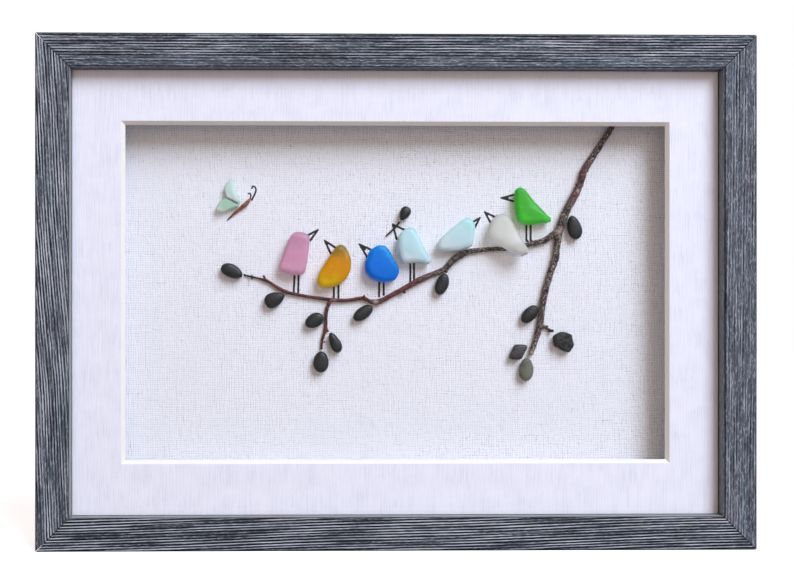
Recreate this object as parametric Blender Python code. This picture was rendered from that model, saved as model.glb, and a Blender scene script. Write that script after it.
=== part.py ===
"""Framed sea-glass picture in a shallow box frame.

Four mitred rails hold a window mat, spacer strips, a canvas panel and a back board. On the canvas
seven glass birds sit along a natural twig that has pebbles for leaves, and a butterfly made of two
glass slivers flies beside them.

Metres, +Z up. The picture faces -Y and stands on its bottom rail. The origin is the middle of the
underside.
"""

import math

import bmesh
import bpy
from mathutils import Vector

MM = 0.001

# Opening of the frame, through which the mat shows
SIGHT_WIDTH = 290.0 * MM
SIGHT_HEIGHT = 199.0 * MM

# Moulding of the rails
RAIL_FACE = 15.2 * MM
RAIL_DEPTH = 30.0 * MM
LIP_LAP = 6.0 * MM
LIP_THICKNESS = 6.0 * MM
FACE_ARRIS = 0.8 * MM
GROOVE_PITCH = 2.2 * MM
GROOVE_WIDTH = 0.7 * MM
GROOVE_DEPTH = 0.25 * MM

# Boards in the rebate
MAT_THICKNESS = 1.6 * MM
MAT_BORDER_SIDE = 21.8 * MM
MAT_BORDER_TOP = 22.7 * MM
RECESS = 12.0 * MM
SPACER_WIDTH = 8.0 * MM
CANVAS_THICKNESS = 2.0 * MM
BOARD_THICKNESS = 2.5 * MM
REBATE_PLAY = 0.5 * MM

# Gap that touching pieces keep
FIT_GAP = 0.3 * MM

# Fastenings on the back
TAB_LENGTH = 12.0 * MM
TAB_WIDTH = 8.0 * MM
TAB_THICKNESS = 0.5 * MM
TAB_SPREAD = 0.5  # share of the half side at which each tab sits
HANGER_LENGTH = 46.0 * MM
HANGER_HEIGHT = 10.0 * MM
HANGER_THICKNESS = 0.8 * MM
HANGER_STANDOFF = 1.6 * MM
HANGER_FOOT = 6.5 * MM
HANGER_RAMP = 2.5 * MM
HANGER_DROP = 14.0 * MM
TOOTH_PITCH = 4.0 * MM
TOOTH_DEPTH = 1.6 * MM
TOOTH_LEAN = 0.35  # share of the pitch from a tooth's foot to its notch
NAIL_HEAD_RADIUS = 1.7 * MM
NAIL_HEAD_TOP_RADIUS = 1.4 * MM
NAIL_HEAD_THICKNESS = 0.6 * MM

# Glass, stones and twig
GLASS_THICKNESS = 5.0 * MM
GLASS_RIM = 2.2 * MM
WING_THICKNESS = 2.4 * MM
WING_RIM = 0.7 * MM
PEBBLE_THICKNESS = 3.4 * MM
PEBBLE_RIM = 1.4 * MM
CROWN = 0.3 * MM
LEAF_GAP = 0.35 * MM
TWIG_TUCK = 8.0 * MM
SLIDE_STEP = 0.1 * MM

# Fineness of the faceting
CORNER_TURN = math.radians(32)
CORNER_SHARE = 0.49  # the most of a side that one corner's arc may take
PEBBLE_POINTS = 18
RIM_STEPS = 4
TWIG_SIDES = 8
SPRIG_SIDES = 6
GROWTH_STEPS = (3, 2, 2, 1, 1)  # for the trunk, branch, shoot, stalk and spur
SPRIG_STEPS = 2
BODY_STEPS = 3
MEASURING_STEPS = 8
MEASURING_PITCH = 0.6 * MM

# Glass birds: place of each from the middle of the picture, and its corners from there, with the
# radius that the sea has worn each corner to, all in millimetres
BIRDS = {
    "bird_pink": ((-44.7, 17.1), [
        (-8.9, -6.6, 1.6), (-1.8, -9.2, 7.0), (4.0, -8.9, 3.0),
        (6.4, 9.6, 2.6), (0.6, 11.4, 4.0), (-2.8, 9.8, 3.0),
    ]),
    "bird_amber": ((-27.5, 11.2), [
        (2.9, 13.4, 3.0), (-7.2, -2.0, 6.0), (-8.3, -9.2, 2.6),
        (1.0, -8.6, 6.0), (7.2, -3.2, 5.0), (7.9, 5.6, 6.0),
    ]),
    "bird_blue": ((-6.4, 12.9), [
        (-3.4, 8.6, 4.5), (-6.9, 4.0, 8.0), (-7.2, -4.2, 5.0), (-1.5, -8.6, 6.0),
        (7.2, -7.2, 3.5), (9.2, -2.6, 3.2), (2.6, 9.6, 4.0),
    ]),
    "bird_pale": ((7.7, 20.8), [
        (0.8, 10.4, 2.8), (-4.4, 7.8, 3.6), (-6.8, 2.6, 6.0),
        (-4.6, -7.4, 3.0), (2.2, -6.9, 12.0), (10.2, -8.0, 1.3),
    ]),
    "bird_aqua": ((29.3, 25.4), [
        (4.4, 9.6, 3.0), (-7.8, -0.6, 6.0), (-11.4, -6.6, 2.0),
        (-2.0, -7.4, 10.0), (6.8, -4.8, 3.0), (8.1, 6.0, 3.4),
    ]),
    "bird_clear": ((52.0, 26.5), [
        (-0.4, 10.6, 3.0), (-4.6, 9.8, 3.0), (-8.2, 6.2, 4.0), (-9.6, -1.2, 3.6),
        (-2.0, -6.4, 10.0), (5.6, -10.4, 3.0), (9.8, -8.6, 1.6), (4.0, 3.0, 12.0),
    ]),
    "bird_green": ((62.4, 38.8), [
        (-3.9, 10.4, 2.8), (-7.3, 9.0, 2.2), (-7.4, 3.6, 8.0), (-5.8, -7.0, 3.6),
        (-0.5, -7.7, 12.0), (11.2, -6.2, 1.3), (2.0, 3.2, 12.0),
    ]),
}
# The bird that sits on top of the branch, and the one that leans on its front
PERCHED_BIRD = "bird_aqua"
LEANING_BIRD = "bird_clear"

WINGS = {
    "wing_upper": ((-74.6, 46.6), [
        (-0.4, 6.6, 0.8), (-3.6, 1.4, 1.6), (-2.4, -3.0, 1.2), (4.6, -5.9, 0.6), (1.8, 0.6, 3.0),
    ]),
    "wing_lower": ((-77.5, 39.8), [
        (-4.6, -1.9, 0.7), (-1.0, -2.9, 1.4), (2.0, -1.5, 3.0), (7.2, 0.1, 0.6),
        (0.0, 3.9, 1.2), (-2.8, 1.8, 1.6),
    ]),
}

# Twig routes, from the middle of the picture: across, up and radius in millimetres
TRUNK = [
    (95.2, 68.2, 1.4), (91.4, 62.3, 1.45), (87.7, 56.4, 1.65), (86.2, 51.3, 1.5),
    (84.0, 46.2, 1.75), (81.5, 41.8, 1.85), (79.3, 37.4, 1.7), (77.0, 31.5, 1.9),
    (75.9, 26.4, 1.7), (75.0, 19.8, 1.4), (74.5, 16.1, 1.6), (72.3, 9.5, 1.4),
    (70.1, 2.2, 1.5), (68.6, -5.1, 1.45), (67.2, -15.4, 1.45), (65.0, -22.7, 1.15),
    (63.1, -28.2, 1.25),
]
BRANCH = [
    (76.2, 28.6, 1.3), (74.8, 28.0, 1.5), (71.9, 26.0, 1.3), (69.0, 24.2, 1.35),
    (62.4, 22.4, 1.15), (57.3, 21.4, 1.1), (49.9, 20.4, 1.05), (42.6, 20.1, 1.05),
    (36.0, 19.5, 1.1), (31.6, 18.0, 1.4), (27.9, 15.8, 1.6), (25.0, 12.8, 1.35),
    (22.8, 10.8, 1.25), (17.0, 8.4, 1.15), (11.8, 6.1, 1.4), (5.8, 2.7, 1.2),
    (-0.4, -0.5, 1.1), (-5.0, -3.1, 1.1), (-8.3, -4.2, 1.3), (-11.3, -3.6, 0.85),
    (-14.2, -2.3, 0.9), (-20.2, -3.1, 0.75), (-25.5, -3.3, 0.85), (-36.7, -2.0, 0.75),
    (-45.9, -0.4, 0.75), (-50.5, 0.9, 0.85), (-54.8, 3.4, 0.65), (-58.7, 5.8, 0.7),
    (-62.4, 6.8, 0.5), (-68.7, 8.3, 0.4),
]
SHOOT = [
    (-29.0, -3.2, 0.85), (-30.8, -7.0, 0.85), (-31.3, -12.0, 0.75), (-31.4, -16.0, 0.75),
    (-33.1, -22.0, 0.6), (-33.3, -25.8, 0.55),
]
STALK = [(-31.3, -15.0, 0.6), (-30.9, -16.6, 0.55), (-30.3, -17.8, 0.5)]
SPUR = [(67.6, -14.0, 0.7), (70.2, -15.9, 0.55), (72.6, -17.6, 0.5)]
SPRIG = [(-3.6, 26.3, 0.35), (0.8, 30.4, 0.5), (2.6, 32.8, 0.45)]
BUTTERFLY_BODY = [
    (-76.8, 33.4, 0.2), (-73.9, 36.2, 0.5), (-70.0, 39.4, 0.85), (-67.7, 41.3, 0.95),
    (-66.1, 43.3, 0.5),
]

# Egg-shaped pebbles: the place, the length and width in millimetres, the way that the narrow end
# points in degrees, how much narrower it is, and the way that the pebble is slid off the twig
EGG_PEBBLES = {
    "pebble_01": ((-74.5, 10.0), 10.8, 6.2, -24, 0.12, 158),
    "pebble_02": ((-54.7, -2.5), 9.8, 6.8, 25, 0.30, 250),
    "pebble_03": ((-36.5, -12.6), 9.0, 6.6, 30, -0.10, 200),
    "pebble_04": ((-27.8, -22.0), 10.2, 5.0, 115, 0.28, -50),
    "pebble_05": ((-33.6, -31.6), 9.8, 7.2, 88, 0.05, -90),
    "pebble_06": ((-14.3, -9.2), 10.4, 5.7, 35, 0.0, 240),
    "pebble_07": ((21.9, 4.6), 10.2, 6.0, 70, 0.10, -70),
    "pebble_08": ((4.9, 36.5), 7.0, 4.8, 242, 0.30, 62),
    "pebble_09": ((83.0, 30.3), 11.2, 6.4, 104, 0.25, 0),
    "pebble_10": ((63.2, -9.4), 9.8, 6.0, 47, 0.05, 200),
    "pebble_13": ((60.9, -35.1), 10.6, 6.6, 86, 0.10, -90),
}
# Broken pebbles: the place, the corners with their radii, and the way that each is slid
ANGULAR_PEBBLES = {
    "pebble_11": ((77.9, -22.5), [
        (-5.1, 2.8, 1.6), (-4.2, -1.8, 1.4), (2.4, -5.2, 1.4),
        (5.1, -1.6, 1.4), (3.8, 3.6, 1.4), (-0.4, 5.0, 1.4),
    ], -30),
    "pebble_12": ((57.2, -27.2), [
        (-4.8, -3.2, 1.0), (1.3, -3.4, 1.4), (4.8, 3.4, 1.0), (-1.8, 3.6, 1.4),
    ], 200),
}

# Sizes that follow from the driving ones
FRAME_WIDTH = SIGHT_WIDTH + 2 * RAIL_FACE
FRAME_HEIGHT = SIGHT_HEIGHT + 2 * RAIL_FACE
REBATE_WIDTH = SIGHT_WIDTH + 2 * LIP_LAP
REBATE_HEIGHT = SIGHT_HEIGHT + 2 * LIP_LAP
BOARD_WIDTH = REBATE_WIDTH - 2 * REBATE_PLAY
BOARD_HEIGHT = REBATE_HEIGHT - 2 * REBATE_PLAY
WINDOW_WIDTH = SIGHT_WIDTH - 2 * MAT_BORDER_SIDE
WINDOW_HEIGHT = SIGHT_HEIGHT - 2 * MAT_BORDER_TOP
MIDDLE = FRAME_HEIGHT / 2

FACE_Y = -RAIL_DEPTH / 2
BACK_Y = RAIL_DEPTH / 2
MAT_FRONT = FACE_Y + LIP_THICKNESS + FIT_GAP
MAT_BACK = MAT_FRONT + MAT_THICKNESS
CANVAS_FRONT = MAT_BACK + RECESS
CANVAS_BACK = CANVAS_FRONT + CANVAS_THICKNESS
BOARD_FRONT = CANVAS_BACK + FIT_GAP
BOARD_BACK = BOARD_FRONT + BOARD_THICKNESS


def clear_scene():
    """Removes every object that the scene starts with."""
    for obj in list(bpy.data.objects):
        bpy.data.objects.remove(obj, do_unlink=True)


def make_material(name, colour, roughness, metallic=0.0, transmission=0.0):
    """A plain Principled material."""
    material = bpy.data.materials.new(name)
    material.use_nodes = True
    shader = material.node_tree.nodes["Principled BSDF"]
    shader.inputs["Base Color"].default_value = (*colour, 1.0)
    shader.inputs["Roughness"].default_value = roughness
    shader.inputs["Metallic"].default_value = metallic
    shader.inputs["Transmission Weight"].default_value = transmission
    material.diffuse_color = (*colour, 1.0)
    return material


def add_object(name, bm, material, location=(0.0, 0.0, 0.0), rotation=(0.0, 0.0, 0.0), smooth=False):
    """Turns a bmesh into a named object in its place."""
    bmesh.ops.recalc_face_normals(bm, faces=bm.faces)
    mesh = bpy.data.meshes.new(name)
    bm.to_mesh(mesh)
    bm.free()
    if smooth:
        mesh.shade_smooth()
    mesh.materials.append(material)
    obj = bpy.data.objects.new(name, mesh)
    bpy.context.scene.collection.objects.link(obj)
    obj.location = location
    obj.rotation_euler = rotation
    return obj


def skin(bm, rings):
    """Joins rings of points with quads and closes both ends."""
    loops = [[bm.verts.new(point) for point in ring] for ring in rings]
    for lower, upper in zip(loops, loops[1:]):
        for i in range(len(lower)):
            j = (i + 1) % len(lower)
            bm.faces.new((lower[i], lower[j], upper[j], upper[i]))
    return bm.faces.new(reversed(loops[0])), bm.faces.new(loops[-1])


def slab(name, size, centre, material):
    """A plain board or strip."""
    bm = bmesh.new()
    bmesh.ops.create_cube(bm, size=1.0)
    bmesh.ops.scale(bm, vec=size, verts=bm.verts)
    return add_object(name, bm, material, centre)


def smooth_curve(points, steps):
    """Points of a Catmull-Rom curve through the given ones. The radius is blended along with them."""
    fine = []
    for i in range(len(points) - 1):
        before = points[max(i - 1, 0)]
        start, end = points[i], points[i + 1]
        after = points[min(i + 2, len(points) - 1)]
        for k in range(steps):
            t = k / steps
            fine.append(0.5 * (
                2 * start + (end - before) * t
                + (2 * before - 5 * start + 4 * end - after) * t ** 2
                + (3 * start - before - 3 * end + after) * t ** 3
            ))
    fine.append(points[-1])
    return fine


def in_metres(rows):
    """Rows of millimetres as vectors of metres."""
    return [Vector(row) * MM for row in rows]


def rounded_outline(corners):
    """A closed outline with an arc at each corner, as long as the sides leave room for it."""
    points = []
    count = len(corners)
    for i, corner in enumerate(corners):
        here = Vector((corner.x, corner.y))
        back = corners[i - 1].xy - here
        ahead = corners[(i + 1) % count].xy - here
        half = back.angle(ahead) / 2
        turn = math.pi - 2 * half
        reach = min(corner.z / math.tan(half), CORNER_SHARE * back.length, CORNER_SHARE * ahead.length)
        radius = reach * math.tan(half)
        bisector = (back.normalized() + ahead.normalized()).normalized()
        centre = here + bisector * (radius / math.sin(half))
        start = here + back.normalized() * reach - centre
        side = 1.0 if back.x * ahead.y - back.y * ahead.x < 0 else -1.0
        steps = max(1, round(turn / CORNER_TURN))
        for k in range(steps + 1):
            angle = side * turn * k / steps
            turned = Vector((
                start.x * math.cos(angle) - start.y * math.sin(angle),
                start.x * math.sin(angle) + start.y * math.cos(angle),
            ))
            points.append(centre + turned)
    return points


def egg_outline(length, width, angle, taper):
    """The outline of an egg-shaped pebble whose narrow end points along the angle."""
    points = []
    for k in range(PEBBLE_POINTS):
        t = 2 * math.pi * k / PEBBLE_POINTS
        along = length / 2 * math.cos(t)
        across = width / 2 * math.sin(t) * (1 - taper * math.cos(t))
        points.append(Vector((
            along * math.cos(angle) - across * math.sin(angle),
            along * math.sin(angle) + across * math.cos(angle),
        )))
    return points


def worn_solid(outline, thickness, rim):
    """A flat stone of the given outline, its rim worn round and its faces slightly crowned."""
    bm = bmesh.new()
    rings = []
    for k in range(RIM_STEPS + 1):
        angle = math.pi * (k / RIM_STEPS - 0.5)
        inset = rim * (1 - math.cos(angle))
        depth = thickness / 2 * math.sin(angle)
        rings.append([
            (p.x - p.normalized().x * inset, -depth, p.y - p.normalized().y * inset) for p in outline
        ])
    for face, way in zip(skin(bm, rings), (1, -1)):
        poked = bmesh.ops.poke(bm, faces=[face])
        poked["verts"][0].co.y += way * CROWN
    return bm


def tube(route, steps, sides=TWIG_SIDES):
    """A closed round rod along a route in the picture, lying on the canvas."""
    fine = smooth_curve(route, steps)
    rings = []
    for i, point in enumerate(fine):
        ahead = fine[min(i + 1, len(fine) - 1)].xy - fine[max(i - 1, 0)].xy
        across = Vector((ahead.y, -ahead.x)).normalized()
        radius = point.z
        ring = []
        for k in range(sides):
            angle = 2 * math.pi * (k + 0.5) / sides
            spread = across * (radius * math.cos(angle))
            ring.append((
                point.x + spread.x,
                CANVAS_FRONT - FIT_GAP - radius + radius * math.sin(angle),
                MIDDLE + point.y + spread.y,
            ))
        rings.append(ring)
    bm = bmesh.new()
    skin(bm, rings)
    return bm


def rail_section():
    """The moulding's outline as pairs: across from its outer side, and back from its face."""
    bulge = FACE_ARRIS * (1 - math.cos(math.pi / 4))
    face = [(0.0, FACE_ARRIS), (bulge, bulge), (FACE_ARRIS, 0.0)]
    room = RAIL_FACE - 2 * FACE_ARRIS - GROOVE_WIDTH
    count = int(room / GROOVE_PITCH)
    first = RAIL_FACE / 2 - GROOVE_PITCH * (count - 1) / 2
    for k in range(count):
        middle = first + k * GROOVE_PITCH
        face.append((middle - GROOVE_WIDTH / 2, 0.0))
        face.append((middle, GROOVE_DEPTH))
        face.append((middle + GROOVE_WIDTH / 2, 0.0))
    face.append((RAIL_FACE - FACE_ARRIS, 0.0))
    face.append((RAIL_FACE - bulge, bulge))
    face.append((RAIL_FACE, FACE_ARRIS))
    rebate = [
        (RAIL_FACE, LIP_THICKNESS),
        (RAIL_FACE - LIP_LAP, LIP_THICKNESS),
        (RAIL_FACE - LIP_LAP, RAIL_DEPTH),
        (0.0, RAIL_DEPTH),
    ]
    return face + rebate


def make_rail(name, length, location, turn, material):
    """A rail with both ends cut to a mitre. Its outer side starts at its own z = 0."""
    bm = bmesh.new()
    section = rail_section()
    ends = [[(x, FACE_Y + v, u) for u, v in section] for x in (-length / 2, length / 2)]
    skin(bm, ends)
    saw_gap = FIT_GAP / 2 * math.sqrt(2)
    for side in (-1, 1):
        cut = bmesh.ops.bisect_plane(
            bm,
            geom=bm.verts[:] + bm.edges[:] + bm.faces[:],
            plane_co=(side * (length / 2 - saw_gap), 0.0, 0.0),
            plane_no=(side, 0.0, 1.0),
            clear_outer=True,
        )
        rim = [e for e in cut["geom_cut"] if isinstance(e, bmesh.types.BMEdge)]
        bmesh.ops.edgeloop_fill(bm, edges=rim)
    return add_object(name, bm, material, location, (0.0, turn, 0.0))


def make_rails(material):
    """The four rails of the frame."""
    half = FRAME_WIDTH / 2
    quarter = math.pi / 2
    make_rail("rail_bottom", FRAME_WIDTH, (0.0, 0.0, 0.0), 0.0, material)
    make_rail("rail_top", FRAME_WIDTH, (0.0, 0.0, FRAME_HEIGHT), 2 * quarter, material)
    make_rail("rail_left", FRAME_HEIGHT, (-half, 0.0, MIDDLE), quarter, material)
    make_rail("rail_right", FRAME_HEIGHT, (half, 0.0, MIDDLE), -quarter, material)


def make_mat(material):
    """The window mat, whose window is cut at 45 degrees and is narrower at the back."""
    bm = bmesh.new()
    narrow = 2 * MAT_THICKNESS
    loops = [
        (BOARD_WIDTH, BOARD_HEIGHT, MAT_FRONT),
        (WINDOW_WIDTH, WINDOW_HEIGHT, MAT_FRONT),
        (WINDOW_WIDTH - narrow, WINDOW_HEIGHT - narrow, MAT_BACK),
        (BOARD_WIDTH, BOARD_HEIGHT, MAT_BACK),
    ]
    rings = []
    for width, height, y in loops:
        signs = ((-1, -1), (1, -1), (1, 1), (-1, 1))
        corners = [bm.verts.new((a * width / 2, y, MIDDLE + b * height / 2)) for a, b in signs]
        rings.append([bm.edges.new((corners[i - 1], corners[i])) for i in range(len(corners))])
    for i, ring in enumerate(rings):
        bmesh.ops.bridge_loops(bm, edges=rings[i - 1] + ring)
    add_object("mat_board", bm, material)


def make_spacers(material):
    """Strips between the mat and the canvas panel, against the wall of the rebate."""
    depth = RECESS - 2 * FIT_GAP
    y = MAT_BACK + RECESS / 2
    high = (BOARD_HEIGHT - SPACER_WIDTH) / 2
    wide = (BOARD_WIDTH - SPACER_WIDTH) / 2
    upright = BOARD_HEIGHT - 2 * SPACER_WIDTH - 2 * FIT_GAP
    for name, side in (("spacer_bottom", -1), ("spacer_top", 1)):
        slab(name, (BOARD_WIDTH, depth, SPACER_WIDTH), (0.0, y, MIDDLE + side * high), material)
    for name, side in (("spacer_left", -1), ("spacer_right", 1)):
        slab(name, (SPACER_WIDTH, depth, upright), (side * wide, y, MIDDLE), material)


def make_boards(canvas, hardboard):
    """The canvas panel and the board behind it."""
    size = (BOARD_WIDTH, CANVAS_THICKNESS, BOARD_HEIGHT)
    slab("canvas_panel", size, (0.0, (CANVAS_FRONT + CANVAS_BACK) / 2, MIDDLE), canvas)
    size = (BOARD_WIDTH, BOARD_THICKNESS, BOARD_HEIGHT)
    slab("back_board", size, (0.0, (BOARD_FRONT + BOARD_BACK) / 2, MIDDLE), hardboard)


def make_tabs(material):
    """Round-ended metal tabs that lie on the back board, two along each rail."""
    half_width = TAB_WIDTH / 2
    corners = [
        Vector((-half_width, 0.0, 0.0)),
        Vector((-half_width, TAB_LENGTH, half_width)),
        Vector((half_width, TAB_LENGTH, half_width)),
        Vector((half_width, 0.0, 0.0)),
    ]
    front = BOARD_BACK + FIT_GAP
    edge = REBATE_HEIGHT / 2 - FIT_GAP
    side_edge = REBATE_WIDTH / 2 - FIT_GAP
    across = TAB_SPREAD * REBATE_WIDTH / 2
    up = TAB_SPREAD * REBATE_HEIGHT / 2
    quarter = math.pi / 2
    places = [(s * across, -edge, 0.0) for s in (-1, 1)]
    places += [(s * across, edge, 2 * quarter) for s in (-1, 1)]
    places += [(-side_edge, s * up, quarter) for s in (-1, 1)]
    places += [(side_edge, s * up, -quarter) for s in (-1, 1)]
    for number, (x, z, turn) in enumerate(places, start=1):
        bm = bmesh.new()
        outline = rounded_outline(corners)
        skin(bm, [[(p.x, y, p.y) for p in outline] for y in (front, front + TAB_THICKNESS)])
        add_object(f"tab_{number}", bm, material, (x, 0.0, MIDDLE + z), (0.0, turn, 0.0))


def make_hanger(material):
    """A sawtooth hanger: two feet on the back board and a raised, toothed bar between them."""
    half = HANGER_LENGTH / 2
    raised = half - HANGER_FOOT - HANGER_RAMP
    count = 2 * int(raised / TOOTH_PITCH)
    first = -TOOTH_PITCH * count / 2
    stations = [(-half, 0.0, 0.0), (-half + HANGER_FOOT, 0.0, 0.0), (-raised, HANGER_STANDOFF, 0.0)]
    for k in range(count):
        x = first + (k + 0.5) * TOOTH_PITCH
        stations.append((x - TOOTH_PITCH * TOOTH_LEAN, HANGER_STANDOFF, 0.0))
        stations.append((x, HANGER_STANDOFF, TOOTH_DEPTH))
    stations += [(raised, HANGER_STANDOFF, 0.0), (half - HANGER_FOOT, 0.0, 0.0), (half, 0.0, 0.0)]
    foot = BOARD_BACK + FIT_GAP
    top = MIDDLE + BOARD_HEIGHT / 2 - HANGER_DROP
    rings = []
    for x, off, notch in stations:
        near = foot + off
        low = top - HANGER_HEIGHT + notch
        rings.append([
            (x, near, low), (x, near, top),
            (x, near + HANGER_THICKNESS, top), (x, near + HANGER_THICKNESS, low),
        ])
    bm = bmesh.new()
    skin(bm, rings)
    add_object("hanger", bm, material)
    nail_y = foot + HANGER_THICKNESS + FIT_GAP + NAIL_HEAD_THICKNESS / 2
    for name, side in (("hanger_nail_left", -1), ("hanger_nail_right", 1)):
        bm = bmesh.new()
        bmesh.ops.create_cone(
            bm, cap_ends=True, segments=12, depth=NAIL_HEAD_THICKNESS,
            radius1=NAIL_HEAD_RADIUS, radius2=NAIL_HEAD_TOP_RADIUS,
        )
        place = (side * (half - HANGER_FOOT / 2), nail_y, top - HANGER_HEIGHT / 2)
        add_object(name, bm, material, place, (-math.pi / 2, 0.0, 0.0))


def twig_routes():
    """Every route of the natural twig in metres, with the trunk cut off behind the mat."""
    end = WINDOW_HEIGHT / 2 + TWIG_TUCK
    trunk = [point for point in in_metres(TRUNK) if point.y < end]
    slope = (trunk[0] - trunk[1]) / (trunk[0].y - trunk[1].y)
    trunk.insert(0, trunk[0] + slope * (end - trunk[0].y))
    return [trunk] + [in_metres(route) for route in (BRANCH, SHOOT, STALK, SPUR)]


def make_twig(material):
    """One twig: its side growth is united with the trunk."""
    pieces = []
    for number, (route, steps) in enumerate(zip(twig_routes(), GROWTH_STEPS)):
        name = "twig" if number == 0 else f"twig_growth_{number}"
        pieces.append(add_object(name, tube(route, steps), material, smooth=True))
    for growth in pieces[1:]:
        growth.hide_render = True
        growth.display_type = "WIRE"
        union = pieces[0].modifiers.new(growth.name, "BOOLEAN")
        union.operation = "UNION"
        union.object = growth


def clearance(points, obstacles):
    """The least distance from any point to an obstacle, each a place with a radius."""
    return min((p - place).length - radius for p in points for place, radius in obstacles)


def slid_clear(place, outline, angle, obstacles):
    """Moves an outline along the angle until it stands clear of the obstacles."""
    way = Vector((math.cos(angle), math.sin(angle)))
    while clearance([place + p for p in outline], obstacles) < LEAF_GAP:
        place = place + way * SLIDE_STEP
    return place


def dense_disks(route):
    """A route as closely set disks, for measuring what lies beside it."""
    return [(p.xy, p.z) for p in smooth_curve(route, MEASURING_STEPS)]


def densely(outline):
    """An outline with extra points along its sides."""
    points = []
    for i, point in enumerate(outline):
        before = outline[i - 1]
        parts = max(1, int((point - before).length / MEASURING_PITCH))
        points += [before.lerp(point, k / parts) for k in range(parts)]
    return points


def lay_flat(name, place, outline, thickness, rim, material):
    """A stone or piece of glass glued flat on the canvas."""
    y = CANVAS_FRONT - FIT_GAP - CROWN - thickness / 2
    bm = worn_solid(outline, thickness, rim)
    return add_object(name, bm, material, (place.x, y, MIDDLE + place.y), smooth=True)


def make_pebbles(material, obstacles):
    """Every pebble, slid along its own way until it is clear of the twig and of the ones before it."""
    stones = {}
    for name, (place, length, width, way, taper, slide) in EGG_PEBBLES.items():
        outline = egg_outline(length * MM, width * MM, math.radians(way), taper)
        stones[name] = (place, outline, slide)
    for name, (place, corners, slide) in ANGULAR_PEBBLES.items():
        stones[name] = (place, rounded_outline(in_metres(corners)), slide)
    for name in sorted(stones):
        place, outline, slide = stones[name]
        close = densely(outline)
        spot = slid_clear(Vector(place) * MM, close, math.radians(slide), obstacles)
        obstacles = obstacles + [(spot + p, 0.0) for p in close]
        lay_flat(name, spot, outline, PEBBLE_THICKNESS, PEBBLE_RIM, material)


def make_birds(materials, branch):
    """The glass birds. One sits above the branch and one leans on its front."""
    disks = dense_disks(branch)
    for name, (place, corners) in BIRDS.items():
        outline = rounded_outline(in_metres(corners))
        spot = Vector(place) * MM
        if name == PERCHED_BIRD:
            spot = slid_clear(spot, densely(outline), math.pi / 2, disks)
        bird = lay_flat(name, spot, outline, GLASS_THICKNESS, GLASS_RIM, materials[name])
        if name == LEANING_BIRD:
            lean_on_branch(bird, spot, outline, disks)


def lean_on_branch(bird, spot, outline, disks):
    """Tilts a bird so that its top stays on the canvas and its foot rests on the branch."""
    under, radius = min(disks, key=lambda disk: abs(disk[0].x - spot.x))
    top = max(p.y for p in outline) - GLASS_RIM
    down = spot.y - under.y
    lean = math.atan((2 * radius + FIT_GAP + CROWN) / (top + down))
    back_off = FIT_GAP + CROWN + top * math.tan(lean)
    bird.location.y = CANVAS_FRONT - back_off - GLASS_THICKNESS / 2 / math.cos(lean)
    bird.rotation_euler.x = -lean


def make_butterfly(glass, wood):
    """Two glass wings and a sliver of wood for the body."""
    for name, (place, corners) in WINGS.items():
        outline = rounded_outline(in_metres(corners))
        lay_flat(name, Vector(place) * MM, outline, WING_THICKNESS, WING_RIM, glass)
    add_object("butterfly_body", tube(in_metres(BUTTERFLY_BODY), BODY_STEPS), wood, smooth=True)


def main():
    clear_scene()
    grey_wood = make_material("grey_moulding", (0.13, 0.145, 0.18), 0.55)
    card = make_material("white_card", (0.82, 0.83, 0.90), 0.8)
    strip = make_material("spacer_card", (0.75, 0.74, 0.72), 0.85)
    canvas = make_material("white_canvas", (0.78, 0.79, 0.86), 0.9)
    hardboard = make_material("hardboard", (0.27, 0.17, 0.10), 0.75)
    steel = make_material("zinc_steel", (0.60, 0.60, 0.58), 0.35, metallic=1.0)
    bark = make_material("twig_bark", (0.11, 0.07, 0.06), 0.7)
    stone = make_material("dark_pebble", (0.045, 0.047, 0.045), 0.55)
    glass = {
        "bird_pink": (0.56, 0.28, 0.48),
        "bird_amber": (0.62, 0.30, 0.01),
        "bird_blue": (0.0, 0.16, 0.80),
        "bird_pale": (0.43, 0.68, 0.80),
        "bird_aqua": (0.49, 0.75, 0.78),
        "bird_clear": (0.62, 0.64, 0.62),
        "bird_green": (0.06, 0.48, 0.05),
        "wings": (0.42, 0.68, 0.60),
    }
    sea_glass = {}
    for name, colour in glass.items():
        sea_glass[name] = make_material(f"glass_{name}", colour, 0.45, transmission=0.6)

    make_rails(grey_wood)
    make_mat(card)
    make_spacers(strip)
    make_boards(canvas, hardboard)
    make_tabs(steel)
    make_hanger(steel)
    make_twig(bark)
    sprig = tube(in_metres(SPRIG), SPRIG_STEPS, sides=SPRIG_SIDES)
    add_object("beak_sprig", sprig, bark, smooth=True)
    routes = twig_routes()
    obstacles = [disk for route in routes + [in_metres(SPRIG)] for disk in dense_disks(route)]
    make_pebbles(stone, obstacles)
    make_birds(sea_glass, routes[1])
    make_butterfly(sea_glass["wings"], bark)


main()
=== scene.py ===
"""Dresses the framed sea-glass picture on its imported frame.

The rails get raised grain, the glass, stones and twig get sea-worn skins, and every other part keeps
its own shape under a procedural finish. Metres, +Z up. The picture faces -Y.
"""

import functools
import logging
import math
from dataclasses import dataclass
from enum import Enum
from typing import Any, Callable

import bmesh
import bpy
from mathutils import Matrix, Vector, noise


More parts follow.
